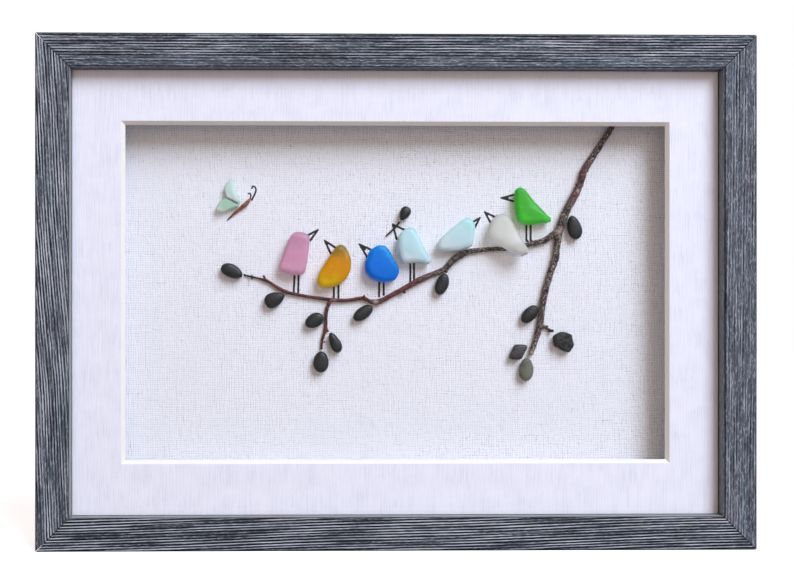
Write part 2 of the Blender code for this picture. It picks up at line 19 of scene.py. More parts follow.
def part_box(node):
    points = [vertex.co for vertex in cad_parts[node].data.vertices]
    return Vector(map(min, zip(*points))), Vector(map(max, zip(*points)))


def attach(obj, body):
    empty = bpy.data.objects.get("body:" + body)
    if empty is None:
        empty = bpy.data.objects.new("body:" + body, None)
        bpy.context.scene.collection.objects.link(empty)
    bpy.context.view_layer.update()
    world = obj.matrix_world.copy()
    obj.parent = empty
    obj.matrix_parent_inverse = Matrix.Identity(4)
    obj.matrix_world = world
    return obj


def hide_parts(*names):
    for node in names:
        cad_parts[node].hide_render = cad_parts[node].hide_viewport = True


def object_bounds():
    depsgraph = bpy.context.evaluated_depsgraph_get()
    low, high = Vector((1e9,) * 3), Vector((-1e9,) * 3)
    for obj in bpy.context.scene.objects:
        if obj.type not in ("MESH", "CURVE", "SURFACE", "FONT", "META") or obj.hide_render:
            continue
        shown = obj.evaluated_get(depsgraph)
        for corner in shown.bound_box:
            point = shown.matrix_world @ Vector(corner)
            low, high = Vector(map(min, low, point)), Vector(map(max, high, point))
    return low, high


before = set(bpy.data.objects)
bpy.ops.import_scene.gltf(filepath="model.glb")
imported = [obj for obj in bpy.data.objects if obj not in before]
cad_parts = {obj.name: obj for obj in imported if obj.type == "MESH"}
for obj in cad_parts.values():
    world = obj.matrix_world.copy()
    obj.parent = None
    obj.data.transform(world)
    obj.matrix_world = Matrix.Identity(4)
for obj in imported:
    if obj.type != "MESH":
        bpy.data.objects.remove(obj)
CAD_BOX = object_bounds()

log = logging.getLogger("sea_glass_picture")

MM = 0.001
BODY = "root"
NEAR = 1e-5  # metres within which a point counts as lying on a face

Colour = tuple[float, float, float]
Spot = tuple[float, float]
Value = Any  # a node's output socket, a number or a tuple of numbers
Outputs = dict[str, Any]
Put = Callable[[str, Any], None]
Shape = bmesh.types.BMesh
Piece = bpy.types.Object
Material = bpy.types.Material
Socket = bpy.types.NodeSocket
Tree = bpy.types.NodeTree

# The display colour that white card has in the studio's light, and how white the card really is
WHITE_SEEN = (228.0, 230.0, 245.0)
WHITE_ALBEDO = 0.9

# The way towards the window, in the plane of the picture: across and up
WINDOW_SIDE = Vector((0.456, 0.0, 0.890))

# How high the middle of the mat's window lies
WINDOW_MIDDLE = 114.7 * MM


def linear(value: float) -> float:
    """A display value from 0 to 255 as linear light."""
    share = value / 255.0
    return share / 12.92 if share <= 0.04045 else ((share + 0.055) / 1.055) ** 2.4


def seen(red: float, green: float, blue: float) -> Colour:
    """The albedo of a surface that shows as a display colour in the studio's light.

    Args:
        red, green, blue: The display colour, each from 0 to 255.

    Returns:
        The linear albedo, kept below that of the whitest paint.
    """
    pairs = zip((red, green, blue), WHITE_SEEN)
    return tuple(min(0.96, WHITE_ALBEDO * linear(part) / linear(white)) for part, white in pairs)


def smoothstep(low: float, high: float, value: float) -> float:
    """A soft step from 0 at low to 1 at high."""
    t = min(1.0, max(0.0, (value - low) / (high - low)))
    return t * t * (3.0 - 2.0 * t)


def ripple(along: float, across: float, length: float, width: float, seed: float) -> float:
    """Smooth noise on a plane, with waves of a length and a width in millimetres."""
    return noise.noise(Vector((along / (length * MM), across / (width * MM), seed)))


class Wiring:
    """Adds nodes to one node tree and joins them."""

    def __init__(self, tree: Tree) -> None:
        """Keeps the tree that the nodes go into."""
        self.tree = tree

    def put(self, socket: Socket, value: Value) -> None:
        """Links a socket to an input, or sets the input to a constant.

        Args:
            socket: The input.
            value: An output, or a constant.
        """
        if isinstance(value, Socket):
            self.tree.links.new(value, socket)
        elif socket.type == "RGBA" and len(value) == 3:
            socket.default_value = (*value, 1.0)
        else:
            socket.default_value = value

    def add(self, kind: str, inputs: dict[Any, Value] | None = None, **settings: Any) -> bpy.types.Node:
        """Makes one node.

        Args:
            kind: The node's type in Blender.
            inputs: Sockets or constants, by the name or number of the input.
            settings: The node's own properties.

        Returns:
            The new node.
        """
        made = self.tree.nodes.new(kind)
        for name, value in settings.items():
            setattr(made, name, value)
        for name, value in (inputs or {}).items():
            self.put(made.inputs[name], value)
        return made

    def use(self, group: Tree, **inputs: Value) -> Outputs:
        """Places a node group and gives its outputs. Underscores in the inputs' names stand for spaces.

        Args:
            group: The node group.
            inputs: Outputs or constants, by the input's name.

        Returns:
            The group's outputs by name.
        """
        named = {name.replace("_", " "): value for name, value in inputs.items()}
        made = self.add("ShaderNodeGroup", None, node_tree=group)
        for name, value in named.items():
            self.put(made.inputs[name], value)
        return {socket.name: socket for socket in made.outputs}

    def math(self, operation: str, *values: Value, clamp: bool = False) -> Socket:
        """One sum on numbers."""
        made = self.add("ShaderNodeMath", dict(enumerate(values)), operation=operation, use_clamp=clamp)
        return made.outputs[0]

    def times(self, first: Value, second: Value, clamp: bool = False) -> Socket:
        """The product of two numbers."""
        return self.math("MULTIPLY", first, second, clamp=clamp)

    def plus(self, first: Value, second: Value) -> Socket:
        """The sum of two numbers."""
        return self.math("ADD", first, second)

    def less(self, first: Value, second: Value) -> Socket:
        """What is left of the first number without the second."""
        return self.math("SUBTRACT", first, second)

    def over(self, first: Value, second: Value, clamp: bool = False) -> Socket:
        """The first number divided by the second."""
        return self.math("DIVIDE", first, second, clamp=clamp)

    def vector(self, operation: str, *values: Value) -> Socket:
        """One sum on vectors that gives a vector."""
        return self.add("ShaderNodeVectorMath", dict(enumerate(values)), operation=operation).outputs[0]

    def measure(self, operation: str, *values: Value) -> Socket:
        """One sum on vectors that gives a number."""
        return self.add("ShaderNodeVectorMath", dict(enumerate(values)), operation=operation).outputs[1]

    def blend(self, share: Value, first: Value, second: Value) -> Socket:
        """Blends two colours."""
        return self.add("ShaderNodeMix", {0: share, 6: first, 7: second}, data_type="RGBA").outputs[2]

    def between(self, value: Value, low: Value, high: Value, start: float = 0.0,
                end: float = 1.0, soft: bool = False) -> Socket:
        """Maps a number from one range to another, held at its ends.

        Args:
            value: The number.
            low: Where its range starts.
            high: Where its range ends.
            start: What low becomes.
            end: What high becomes.
            soft: Whether the ends are eased.

        Returns:
            The mapped number.
        """
        way = "SMOOTHSTEP" if soft else "LINEAR"
        inputs = {0: value, 1: low, 2: high, 3: start, 4: end}
        return self.add("ShaderNodeMapRange", inputs, interpolation_type=way).outputs[0]

    def span(self, share: Value, start: float, end: float) -> Socket:
        """The number that lies a share of the way from start to end."""
        return self.between(share, 0.0, 1.0, start, end)

    def noise(self, point: Value, scale: Value = 1.0, detail: float = 3.0,
              roughness: float = 0.5, warp: float = 0.0) -> Socket:
        """Cloudy noise between 0 and 1."""
        inputs = {"Vector": point, "Scale": scale, "Detail": detail, "Roughness": roughness}
        return self.add("ShaderNodeTexNoise", inputs | {"Distortion": warp}).outputs["Fac"]

    def cells(self, point: Value, scale: Value = 1.0) -> Socket:
        """The distance to the nearest of a scatter of points."""
        return self.add("ShaderNodeTexVoronoi", {"Vector": point, "Scale": scale}).outputs["Distance"]

    def place(self) -> Socket:
        """The point's place in the row frame, in metres."""
        return self.add("ShaderNodeTexCoord").outputs["Object"]

    def turned(self, point: Value, axis: tuple[float, float, float], angle: float) -> Socket:
        """A point turned about an axis through the origin."""
        inputs = {"Vector": point, "Axis": axis, "Angle": angle}
        return self.add("ShaderNodeVectorRotate", inputs).outputs[0]

    def parts(self, point: Value) -> tuple[Socket, ...]:
        """The three numbers of a vector."""
        return tuple(self.add("ShaderNodeSeparateXYZ", {0: point}).outputs)

    def joined(self, x: Value, y: Value, z: Value) -> Socket:
        """A vector from three numbers."""
        return self.add("ShaderNodeCombineXYZ", {0: x, 1: y, 2: z}).outputs[0]

    def attribute(self, name: str, number: bool = True) -> Socket:
        """A value that the mesh carries at each of its points."""
        made = self.add("ShaderNodeAttribute", None, attribute_name=name)
        return made.outputs["Fac" if number else "Vector"]

    def for_camera(self, plain: Value, shown: Value) -> Socket:
        """A shader that is one thing to the light and another to the camera."""
        seen_directly = self.add("ShaderNodeLightPath").outputs["Is Camera Ray"]
        return self.add("ShaderNodeMixShader", {0: seen_directly, 1: plain, 2: shown}).outputs[0]

    def bump(self, height: Value, distance: float, strength: float = 1.0) -> Socket:
        """A normal that is tilted by a height."""
        inputs = {"Height": height, "Distance": distance, "Strength": strength}
        return self.add("ShaderNodeBump", inputs).outputs["Normal"]


def new_group(name: str, inputs: dict[str, str],
              outputs: tuple[str, ...]) -> tuple[Tree, Wiring, Outputs, Put]:
    """Starts a shader node group.

    Args:
        name: The group's name.
        inputs: The kind of each input socket, by its name.
        outputs: The names of the number outputs.

    Returns:
        The group, its wiring, its input sockets by name, and a function that sets an output.
    """
    group = bpy.data.node_groups.new(name, "ShaderNodeTree")
    kinds = {"number": "NodeSocketFloat", "vector": "NodeSocketVector"}
    for label, kind in inputs.items():
        group.interface.new_socket(name=label, in_out="INPUT", socket_type=kinds[kind])
    for label in outputs:
        group.interface.new_socket(name=label, in_out="OUTPUT", socket_type="NodeSocketFloat")
    wiring = Wiring(group)
    entry = wiring.add("NodeGroupInput")
    leave = wiring.add("NodeGroupOutput")
    given = {label: entry.outputs[label] for label in inputs}

    def give(label: str, value: Value) -> None:
        """Sends a value out of the group."""
        wiring.put(leave.inputs[label], value)

    return group, wiring, given, give


@functools.cache
def mottle_group() -> Tree:
    """Soft uneven patches of a given size, from 0 to 1.

    Returns:
        The group, which gives the patches and a finer grit.
    """
    group, w, given, give = new_group("mottle", {"Point": "vector", "Size": "number"}, ("Patch", "Grit"))
    scale = w.over(1.0, given["Size"])
    patch = w.noise(given["Point"], scale, detail=3.0, roughness=0.55)
    give("Patch", w.between(patch, 0.3, 0.7))
    fine = w.noise(given["Point"], w.times(scale, 9.0), detail=4.0, roughness=0.6)
    give("Grit", w.between(fine, 0.3, 0.7))
    return group


@functools.cache
def streaks_group() -> Tree:
    """Long thin streaks that run along the point's first axis.

    Returns:
        The group, which gives the streaks and their tone.
    """
    inputs = {"Point": "vector", "Length": "number", "Width": "number", "Cover": "number"}
    group, w, given, give = new_group("streaks", inputs, ("Streak", "Tone"))
    along, across, deep = w.parts(given["Point"])
    drawn = w.joined(
        w.over(along, given["Length"]), w.over(across, given["Width"]),
        w.over(deep, given["Width"]))
    tone = w.noise(drawn, 1.0, detail=2.0, roughness=0.6, warp=0.15)
    edge = w.less(0.72, w.times(given["Cover"], 0.44))
    give("Streak", w.between(tone, edge, w.plus(edge, 0.10)))
    give("Tone", w.between(tone, 0.3, 0.7))
    return group


@functools.cache
def weave_group() -> Tree:
    """The height of a plain weave and the pits between its threads, for cloth in the X-Z plane.

    Returns:
        The group, which gives the height and the pits.
    """
    inputs = {"Point": "vector", "Pitch": "number", "Slub": "number"}
    group, w, given, give = new_group("weave", inputs, ("Height", "Pit"))
    x, _, z = w.parts(given["Point"])
    counts = []
    for first, second, seed in ((x, z, 0.0), (z, x, 7.3)):
        drawn = w.joined(w.times(first, 620.0), w.times(second, 150.0), seed)
        sway = w.less(w.noise(drawn, 1.0, detail=2.0), 0.5)
        count = w.over(first, given["Pitch"])
        counts.append(w.plus(count, w.times(sway, given["Slub"])))
    warp_wave, weft_wave = (w.math("SINE", w.times(count, math.pi)) for count in counts)
    crossing = w.times(warp_wave, weft_wave)
    warp = w.times(w.math("ABSOLUTE", warp_wave), w.plus(1.0, crossing))
    weft = w.times(w.math("ABSOLUTE", weft_wave), w.less(1.0, crossing))
    height = w.times(w.plus(warp, weft), 0.5)
    give("Height", height)
    give("Pit", w.between(height, 0.42, 0.08))
    return group


@functools.cache
def pits_group() -> Tree:
    """The fine bruises that sand leaves on glass and stone.

    Returns:
        The group, which gives the height and the bruises.
    """
    inputs = {"Point": "vector", "Size": "number"}
    group, w, given, give = new_group("pits", inputs, ("Height", "Bruise"))
    scale = w.over(1.0, given["Size"])
    bruise = w.between(w.cells(given["Point"], scale), 0.35, 0.0)
    frost = w.noise(given["Point"], w.times(scale, 3.0), detail=3.0, roughness=0.65)
    give("Height", w.less(frost, w.times(bruise, 0.7)))
    give("Bruise", bruise)
    return group


@functools.cache
def stroke_group() -> Tree:
    """One inked line in the X-Z plane, thick and thin at its two ends.

    Returns:
        The group, which gives the line's mask.
    """
    inputs = {
        "Point": "vector", "From": "vector", "To": "vector",
        "From Width": "number", "To Width": "number", "Feather": "number",
    }
    group, w, given, give = new_group("ink stroke", inputs, ("Mask",))
    flat = w.vector("MULTIPLY", given["Point"], (1.0, 0.0, 1.0))
    run = w.vector("SUBTRACT", given["To"], given["From"])
    away = w.vector("SUBTRACT", flat, given["From"])
    share = w.over(w.measure("DOT_PRODUCT", away, run), w.measure("DOT_PRODUCT", run, run), clamp=True)
    reach = w.add("ShaderNodeVectorMath", {0: run, "Scale": share}, operation="SCALE").outputs[0]
    gap = w.measure("LENGTH", w.vector("SUBTRACT", away, reach))
    growth = w.less(given["To Width"], given["From Width"])
    width = w.plus(given["From Width"], w.times(growth, share))
    half = w.times(width, 0.5)
    outer = w.plus(half, given["Feather"])
    inner = w.less(half, given["Feather"])
    give("Mask", w.between(gap, outer, inner))
    return group


class Coat:
    """A finish: each kind has a name and a plain roughness, and wires its own nodes."""

    name: str
    roughness: float

    def build(self) -> Material:
        """Makes the material.

        Returns:
            The material, with its shader's inputs wired.
        """
        material = bpy.data.materials.new(self.name)
        material.use_nodes = True
        w = Wiring(material.node_tree)
        inputs = material.node_tree.nodes["Principled BSDF"].inputs

        def put(label: str, value: Value) -> None:
            """Sets or links one of the shader's inputs."""
            w.put(inputs[label], value)

        put("Roughness", self.roughness)
        self.paint(w, put)
        return material

    def paint(self, w: Wiring, put: Put) -> None:
        """Wires the finish.

        Args:
            w: The wiring of the material.
            put: Sets or links one of the shader's inputs.
        """
        raise NotImplementedError


@dataclass(frozen=True)
class GrainedWood(Coat):
    """Open-grained wood under a blue-grey stain: dark in its grooves, pale along their lips."""

    name: str = "grained wood"
    groove: Colour = seen(6, 8, 13)
    ground: Colour = seen(85, 89, 103)
    crest: Colour = seen(197, 203, 221)
    lip: Colour = seen(150, 151, 158)
    bluer: Colour = seen(76, 94, 112)
    warmer: Colour = seen(92, 80, 82)
    bare: Colour = seen(196, 168, 134)
    roughness: float = 0.52

    def paint(self, w: Wiring, put: Put) -> None:
        """Wires the finish, which reads the mesh's grain, ridge, crest, lip and stain.

        Args:
            w: The wiring of the finish's nodes.
            put: Sets or links one of the shader's inputs.
        """
        grain = w.attribute("grain", number=False)
        ridge = w.attribute("ridge")
        stain = w.attribute("stain")
        fine = w.use(streaks_group(), Point=grain, Length=20 * MM, Width=0.5 * MM, Cover=0.35)
        speck = w.use(streaks_group(), Point=w.vector("ADD", grain, (0.3, 0.1, 0.2)), Length=1.9 * MM,
                      Width=0.45 * MM, Cover=0.35)
        patch = w.use(mottle_group(), Point=w.vector("MULTIPLY", grain, (0.25, 1.0, 1.0)), Size=7 * MM)
        tone = w.blend(w.times(patch["Patch"], 0.7), self.ground, self.bluer)
        tone = w.blend(w.between(patch["Grit"], 0.55, 0.95, 0.0, 0.4), tone, self.warmer)
        tone = w.blend(w.between(speck["Tone"], 0.6, 1.0, 0.0, 0.5), tone, self.crest)
        tone = w.blend(w.between(speck["Tone"], 0.4, 0.0, 0.0, 0.6), tone, self.groove)
        tone = w.blend(w.times(w.attribute("crest"), 0.9), tone, self.crest)
        dark = w.math("MAXIMUM", ridge, w.times(fine["Streak"], 0.4))
        tone = w.blend(w.times(dark, 0.96), tone, self.groove)
        tone = w.blend(w.attribute("lip"), tone, self.lip)
        raw = w.blend(w.times(fine["Tone"], 0.5), self.bare, seen(160, 130, 98))
        put("Base Color", w.blend(stain, raw, tone))
        put("Roughness", w.span(dark, self.roughness - 0.08, 0.8))
        put("Specular IOR Level", 0.2)
        height = w.less(w.times(speck["Tone"], 0.7), fine["Streak"])
        put("Normal", w.bump(height, 0.10 * MM))


@dataclass(frozen=True)
class RibbedCard(Coat):
    """White mounting card with fine upright ribs and a smooth cut edge."""

    name: str = "ribbed card"
    face: Colour = (0.95, 0.96, 1.0)
    shade: Colour = (0.74, 0.75, 0.82)
    core: Colour = (0.90, 0.87, 0.78)
    window: tuple[float, float, float] = (123.2 * MM, 76.8 * MM, WINDOW_MIDDLE)
    roughness: float = 0.85

    def paint(self, w: Wiring, put: Put) -> None:
        """Wires the finish. The cut edge is all that lies inside the window's front edge.

        Args:
            w: The wiring of the finish's nodes.
            put: Sets or links one of the shader's inputs.
        """
        point = w.place()
        x, _, z = w.parts(point)
        half_width, half_height, middle = self.window
        inside_x = w.math("LESS_THAN", w.math("ABSOLUTE", x), half_width)
        inside_z = w.math("LESS_THAN", w.math("ABSOLUTE", w.less(z, middle)), half_height)
        cut = w.times(inside_x, inside_z)
        upright = w.joined(z, x, 0.0)
        rib = w.use(streaks_group(), Point=upright, Length=14 * MM, Width=0.6 * MM, Cover=0.35)
        fleck = w.use(mottle_group(), Point=point, Size=9 * MM)
        weak = w.span(fleck["Patch"], 0.10, 0.75)
        tone = w.blend(w.times(rib["Tone"], weak), self.face, self.shade)
        put("Base Color", w.blend(cut, tone, self.core))
        height = w.times(w.less(1.0, rib["Tone"]), w.less(1.0, cut))
        put("Normal", w.bump(height, 0.05 * MM))


@dataclass(frozen=True)
class Stroke:
    """One inked line on the canvas, in millimetres from the middle of the window."""

    start: Spot
    end: Spot
    start_width: float = 0.85
    end_width: float = 0.85


def on_canvas(spot: Spot) -> tuple[float, float, float]:
    """A spot of the drawing as a point in metres."""
    return spot[0] * MM, 0.0, spot[1] * MM + WINDOW_MIDDLE


def beak(tip: Spot, first: Spot, second: Spot, filled: float = 0.35) -> list[Stroke]:
    """The two lines of a beak, which run together at its tip.

    Args:
        tip: The beak's tip.
        first, second: Where its two lines meet the glass.
        filled: The share of the beak, from the tip, that is inked all through.

    Returns:
        The strokes, from the tip.
    """
    gap = math.dist(first, second)
    middle = tuple(at + filled * ((one + two) / 2 - at) for at, one, two in zip(tip, first, second))
    solid = Stroke(tip, middle, 0.7, max(0.9, 0.85 * gap * filled))
    return [Stroke(tip, first, 0.8, 1.1), Stroke(tip, second, 0.8, 1.1), solid]


def feeler(*places: tuple[float, float, float]) -> list[Stroke]:
    """A thin curl through some places, each given as its two numbers and its line's width."""
    return [Stroke(first[:2], then[:2], first[2], then[2]) for first, then in zip(places, places[1:])]


def legs(*pairs: tuple[float, float, float, float]) -> list[Stroke]:
    """Upright lines, each given as its top and its foot."""
    return [Stroke((x, top), (foot_x, foot), 0.95, 1.0) for x, top, foot_x, foot in pairs]


INK = [
    *beak((-34.9, 29.2), (-39.9, 26.5), (-38.4, 24.4)),
    *beak((-31.9, 24.3), (-26.8, 20.9), (-29.0, 18.3)),
    *beak((-15.8, 22.6), (-10.4, 20.0), (-12.2, 16.5), filled=0.5),
    *beak((-0.5, 31.8), (4.9, 29.3), (1.4, 25.0), filled=0.3),
    *beak((39.9, 34.9), (36.4, 32.7), (37.6, 30.6)),
    *beak((42.1, 37.5), (46.9, 35.2), (45.0, 32.4)),
    *beak((49.7, 44.0), (56.1, 45.6), (56.1, 42.4), filled=0.45),
    *legs((-45.7, 9.0, -46.1, -0.4), (-43.8, 9.0, -44.1, -0.4)),
    *legs((-27.6, 4.4, -27.6, -2.7), (-25.5, 5.0, -25.5, -2.5)),
    *legs((-6.7, 5.8, -6.7, -1.5), (-4.6, 5.8, -4.6, -0.8)),
    *legs((7.7, 14.1, 7.7, 5.0), (9.4, 14.1, 9.4, 5.8)),
    *legs((61.4, 32.5, 61.4, 24.2), (63.4, 32.5, 63.4, 23.6)),
    Stroke((61.4, 24.9), (62.4, 23.4), 0.8, 1.0),
    Stroke((63.4, 24.6), (65.0, 23.2), 0.8, 1.0),
    *feeler((-65.4, 43.0, 0.85), (-64.1, 45.4, 0.8), (-63.4, 47.4, 0.75), (-63.8, 48.8, 0.7),
            (-64.8, 49.3, 0.7), (-65.4, 48.3, 0.75)),
    *feeler((-66.3, 43.0, 0.75), (-65.8, 44.8, 0.7), (-66.2, 45.9, 0.65), (-67.0, 45.9, 0.75)),
]


@dataclass(frozen=True)
class WovenCanvas(Coat):
    """Primed white canvas with beaks, legs and feelers inked on it."""

    strokes: tuple[Stroke, ...]
    name: str = "woven canvas"
    thread: Colour = (0.98, 0.995, 1.0)
    pit: Colour = (0.20, 0.19, 0.21)
    ink: Colour = (0.006, 0.006, 0.007)
    pitch: float = 1.1 * MM
    tightness: float = 1.08
    roughness: float = 0.88

    def paint(self, w: Wiring, put: Put) -> None:
        """Wires the finish, with one stroke group for each inked line.

        Args:
            w: The wiring of the finish's nodes.
            put: Sets or links one of the shader's inputs.
        """
        point = w.place()
        tight = w.vector("MULTIPLY", point, (1.0, 1.0, self.tightness))
        weave = w.use(weave_group(), Point=tight, Pitch=self.pitch, Slub=1.5)
        patch = w.use(mottle_group(), Point=point, Size=5 * MM)
        x, _, z = w.parts(point)
        upright = w.joined(z, x, 0.0)
        thread = w.use(streaks_group(), Point=upright, Length=2.4 * MM, Width=0.75 * MM, Cover=0.4)
        ribbed = w.span(thread["Tone"], 0.7, 1.5)
        uneven = w.times(ribbed, w.span(patch["Patch"], 0.55, 1.45), clamp=True)
        share = w.times(weave["Pit"], uneven)
        tone = w.blend(share, self.thread, self.pit)
        tone = w.blend(w.between(thread["Tone"], 0.5, 1.0, 0.0, 0.10), tone, self.pit)
        tone = w.blend(w.between(patch["Grit"], 0.55, 1.0, 0.0, 0.35), tone, self.pit)
        wobble = w.add("ShaderNodeTexNoise", {"Vector": point, "Scale": 900.0}).outputs["Color"]
        wobble = w.vector("MULTIPLY", w.vector("SUBTRACT", wobble, (0.5,) * 3), (0.35 * MM,) * 3)
        near = w.vector("ADD", point, wobble)
        ink = 0.0
        for stroke in self.strokes:
            mark = w.use(
                stroke_group(), Point=near, From=on_canvas(stroke.start), To=on_canvas(stroke.end),
                From_Width=stroke.start_width * MM, To_Width=stroke.end_width * MM, Feather=0.12 * MM)
            ink = w.math("MAXIMUM", ink, mark["Mask"])
        put("Base Color", w.blend(ink, tone, self.ink))
        put("Roughness", w.span(ink, self.roughness, 0.6))
        put("Normal", w.bump(weave["Height"], 0.16 * MM))


@dataclass(frozen=True)
class SeaGlass(Coat):
    """Glass frosted by the sea, glowing on the side that the light leaves by."""

    name: str
    tint: Colour
    deep: Colour
    glow: Colour
    transmission: float = 0.40
    roughness: float = 0.42
    scatter: float = 0.5

    def paint(self, w: Wiring, put: Put) -> None:
        """Wires the finish, which reads the mesh's reach and lean attributes.

        Args:
            w: The wiring of the finish's nodes.
            put: Sets or links one of the shader's inputs.
        """
        point = w.place()
        reach = w.attribute("reach")
        lean = w.attribute("lean")
        mottle = w.use(mottle_group(), Point=point, Size=6 * MM)
        pits = w.use(pits_group(), Point=point, Size=0.5 * MM)
        drift = w.plus(reach, w.span(mottle["Patch"], -0.14, 0.14))
        tone = w.blend(w.between(drift, 0.55, 0.98, soft=True), self.tint, self.deep)
        tone = w.blend(w.between(drift, 0.5, 0.05, soft=True), tone, self.glow)
        rim = tuple(part * 0.5 for part in self.deep)
        tone = w.blend(w.between(lean, 0.35, 0.95, 0.0, 0.85), tone, rim)
        bright = tuple(min(1.0, part * 0.6 + 0.4) for part in self.glow)
        tone = w.blend(w.between(lean, -0.45, -0.95, 0.0, 0.6), tone, bright)
        tone = w.blend(w.times(pits["Bruise"], 0.04), tone, (0.95, 0.95, 0.95))
        put("Base Color", tone)
        put("Transmission Weight", self.transmission)
        put("IOR", 1.45)
        put("Specular IOR Level", 0.2)
        put("Subsurface Weight", self.scatter)
        put("Subsurface Radius", (1.0, 1.0, 1.0))
        put("Subsurface Scale", 2.5 * MM)
        put("Roughness", w.span(mottle["Grit"], self.roughness - 0.06, self.roughness + 0.1))
        put("Normal", w.bump(pits["Height"], 0.02 * MM))


@dataclass(frozen=True)
class SeaStone(Coat):
    """A pebble's fine dark stone, with veins and paler worn edges."""

    name: str
    ground: Colour
    speck: Colour
    vein: Colour
    veined: float = 0.0
    roughness: float = 0.62
    bump: float = 0.03 * MM

    def paint(self, w: Wiring, put: Put) -> None:
        """Wires the finish.

        Args:
            w: The wiring of the finish's nodes.
            put: Sets or links one of the shader's inputs.
        """
        point = w.place()
        mottle = w.use(mottle_group(), Point=point, Size=4 * MM)
        pits = w.use(pits_group(), Point=point, Size=0.45 * MM)
        slanted = w.turned(point, (0.3, 1.0, 0.2), 0.6)
        streak = w.use(streaks_group(), Point=slanted, Length=7 * MM, Width=0.9 * MM, Cover=0.45)
        paler = tuple(1.7 * part for part in self.ground)
        tone = w.blend(w.times(mottle["Patch"], 0.5), self.ground, paler)
        tone = w.blend(w.times(w.between(mottle["Grit"], 0.55, 1.0), 0.6), tone, self.speck)
        tone = w.blend(w.times(streak["Streak"], self.veined), tone, self.vein)
        put("Base Color", tone)
        put("Roughness", w.span(mottle["Patch"], self.roughness - 0.1, self.roughness + 0.1))
        height = w.plus(pits["Height"], w.times(streak["Streak"], -2.0 * self.veined))
        put("Normal", w.bump(height, self.bump))


@dataclass(frozen=True)
class Bark(Coat):
    """Twig bark: grey-brown with pale flecks where it is old, red-brown and smooth where young."""

    name: str
    old: Colour
    old_dark: Colour
    young: Colour
    young_dark: Colour
    fleck: Colour
    scar: Colour
    change: tuple[float, float] = (6 * MM, 24 * MM)
    flecked: float = 0.9
    roughness: float = 0.6

    def paint(self, w: Wiring, put: Put) -> None:
        """Wires the finish, which reads the mesh's scar, pale and ruddy attributes.

        Args:
            w: The wiring of the finish's nodes.
            put: Sets or links one of the shader's inputs.
        """
        point = w.place()
        x = w.parts(point)[0]
        age = w.times(w.between(x, *self.change), w.span(w.attribute("ruddy"), 1.0, 0.35))
        mottle = w.use(mottle_group(), Point=point, Size=1.5 * MM)
        grit = w.use(mottle_group(), Point=w.vector("ADD", point, (0.2, 0.0, 0.1)), Size=4.5 * MM)
        worn = w.between(mottle["Patch"], 0.25, 0.75)
        old = w.blend(worn, self.old_dark, self.old)
        young = w.blend(worn, self.young_dark, self.young)
        tone = w.blend(age, young, old)
        spots = w.between(grit["Grit"], 0.61, 0.70)
        some = w.span(age, 0.12, self.flecked)
        tone = w.blend(w.times(spots, some), tone, self.fleck)
        tone = w.blend(w.times(w.attribute("pale"), 0.8), tone, self.fleck)
        tone = w.blend(w.times(w.attribute("scar"), 0.9), tone, self.scar)
        put("Base Color", tone)
        put("Roughness", w.span(age, 0.42, self.roughness + 0.1))
        height = w.plus(mottle["Grit"], mottle["Patch"])
        put("Normal", w.bump(height, 0.09 * MM))


@dataclass(frozen=True)
class Board(Coat):
    """Card or hardboard with pressed fibres."""

    name: str
    ground: Colour
    fibre: Colour
    fibre_length: float = 3 * MM
    fibre_width: float = 0.4 * MM
    roughness: float = 0.8
    bump: float = 0.04 * MM

    def paint(self, w: Wiring, put: Put) -> None:
        """Wires the finish.

        Args:
            w: The wiring of the finish's nodes.
            put: Sets or links one of the shader's inputs.
        """
        point = w.place()
        fibres = [
            w.use(streaks_group(), Point=w.turned(point, (0.0, 1.0, 0.0), angle), Length=self.fibre_length,
                  Width=self.fibre_width, Cover=cover)["Streak"]
            for angle, cover in ((0.5, 0.5), (-0.9, 0.4))]
        patch = w.use(mottle_group(), Point=point, Size=30 * MM)
        share = w.math("MAXIMUM", *fibres)
        share = w.times(share, w.span(patch["Patch"], 0.3, 0.8))
        put("Base Color", w.blend(share, self.ground, self.fibre))
        put("Roughness", w.span(patch["Patch"], self.roughness - 0.12, self.roughness))
        put("Normal", w.bump(share, self.bump))


@dataclass(frozen=True)
class ZincSteel(Coat):
    """Zinc-plated sheet steel with roll marks and dull spots."""

    name: str = "zinc-plated steel"
    bright: Colour = (0.72, 0.72, 0.70)
    dull: Colour = (0.42, 0.43, 0.44)
    roughness: float = 0.32

    def paint(self, w: Wiring, put: Put) -> None:
        """Wires the finish.

        Args:
            w: The wiring of the finish's nodes.
            put: Sets or links one of the shader's inputs.
        """
        point = w.place()
        put("Metallic", 1.0)
        marks = w.use(streaks_group(), Point=point, Length=9 * MM, Width=0.15 * MM, Cover=0.4)
        bloom = w.use(mottle_group(), Point=point, Size=3 * MM)
        share = w.times(w.between(bloom["Patch"], 0.4, 0.9), 0.7)
        put("Base Color", w.blend(share, self.bright, self.dull))
        put("Roughness", w.span(bloom["Grit"], self.roughness - 0.06, self.roughness + 0.16))
        put("Normal", w.bump(marks["Tone"], 0.01 * MM))


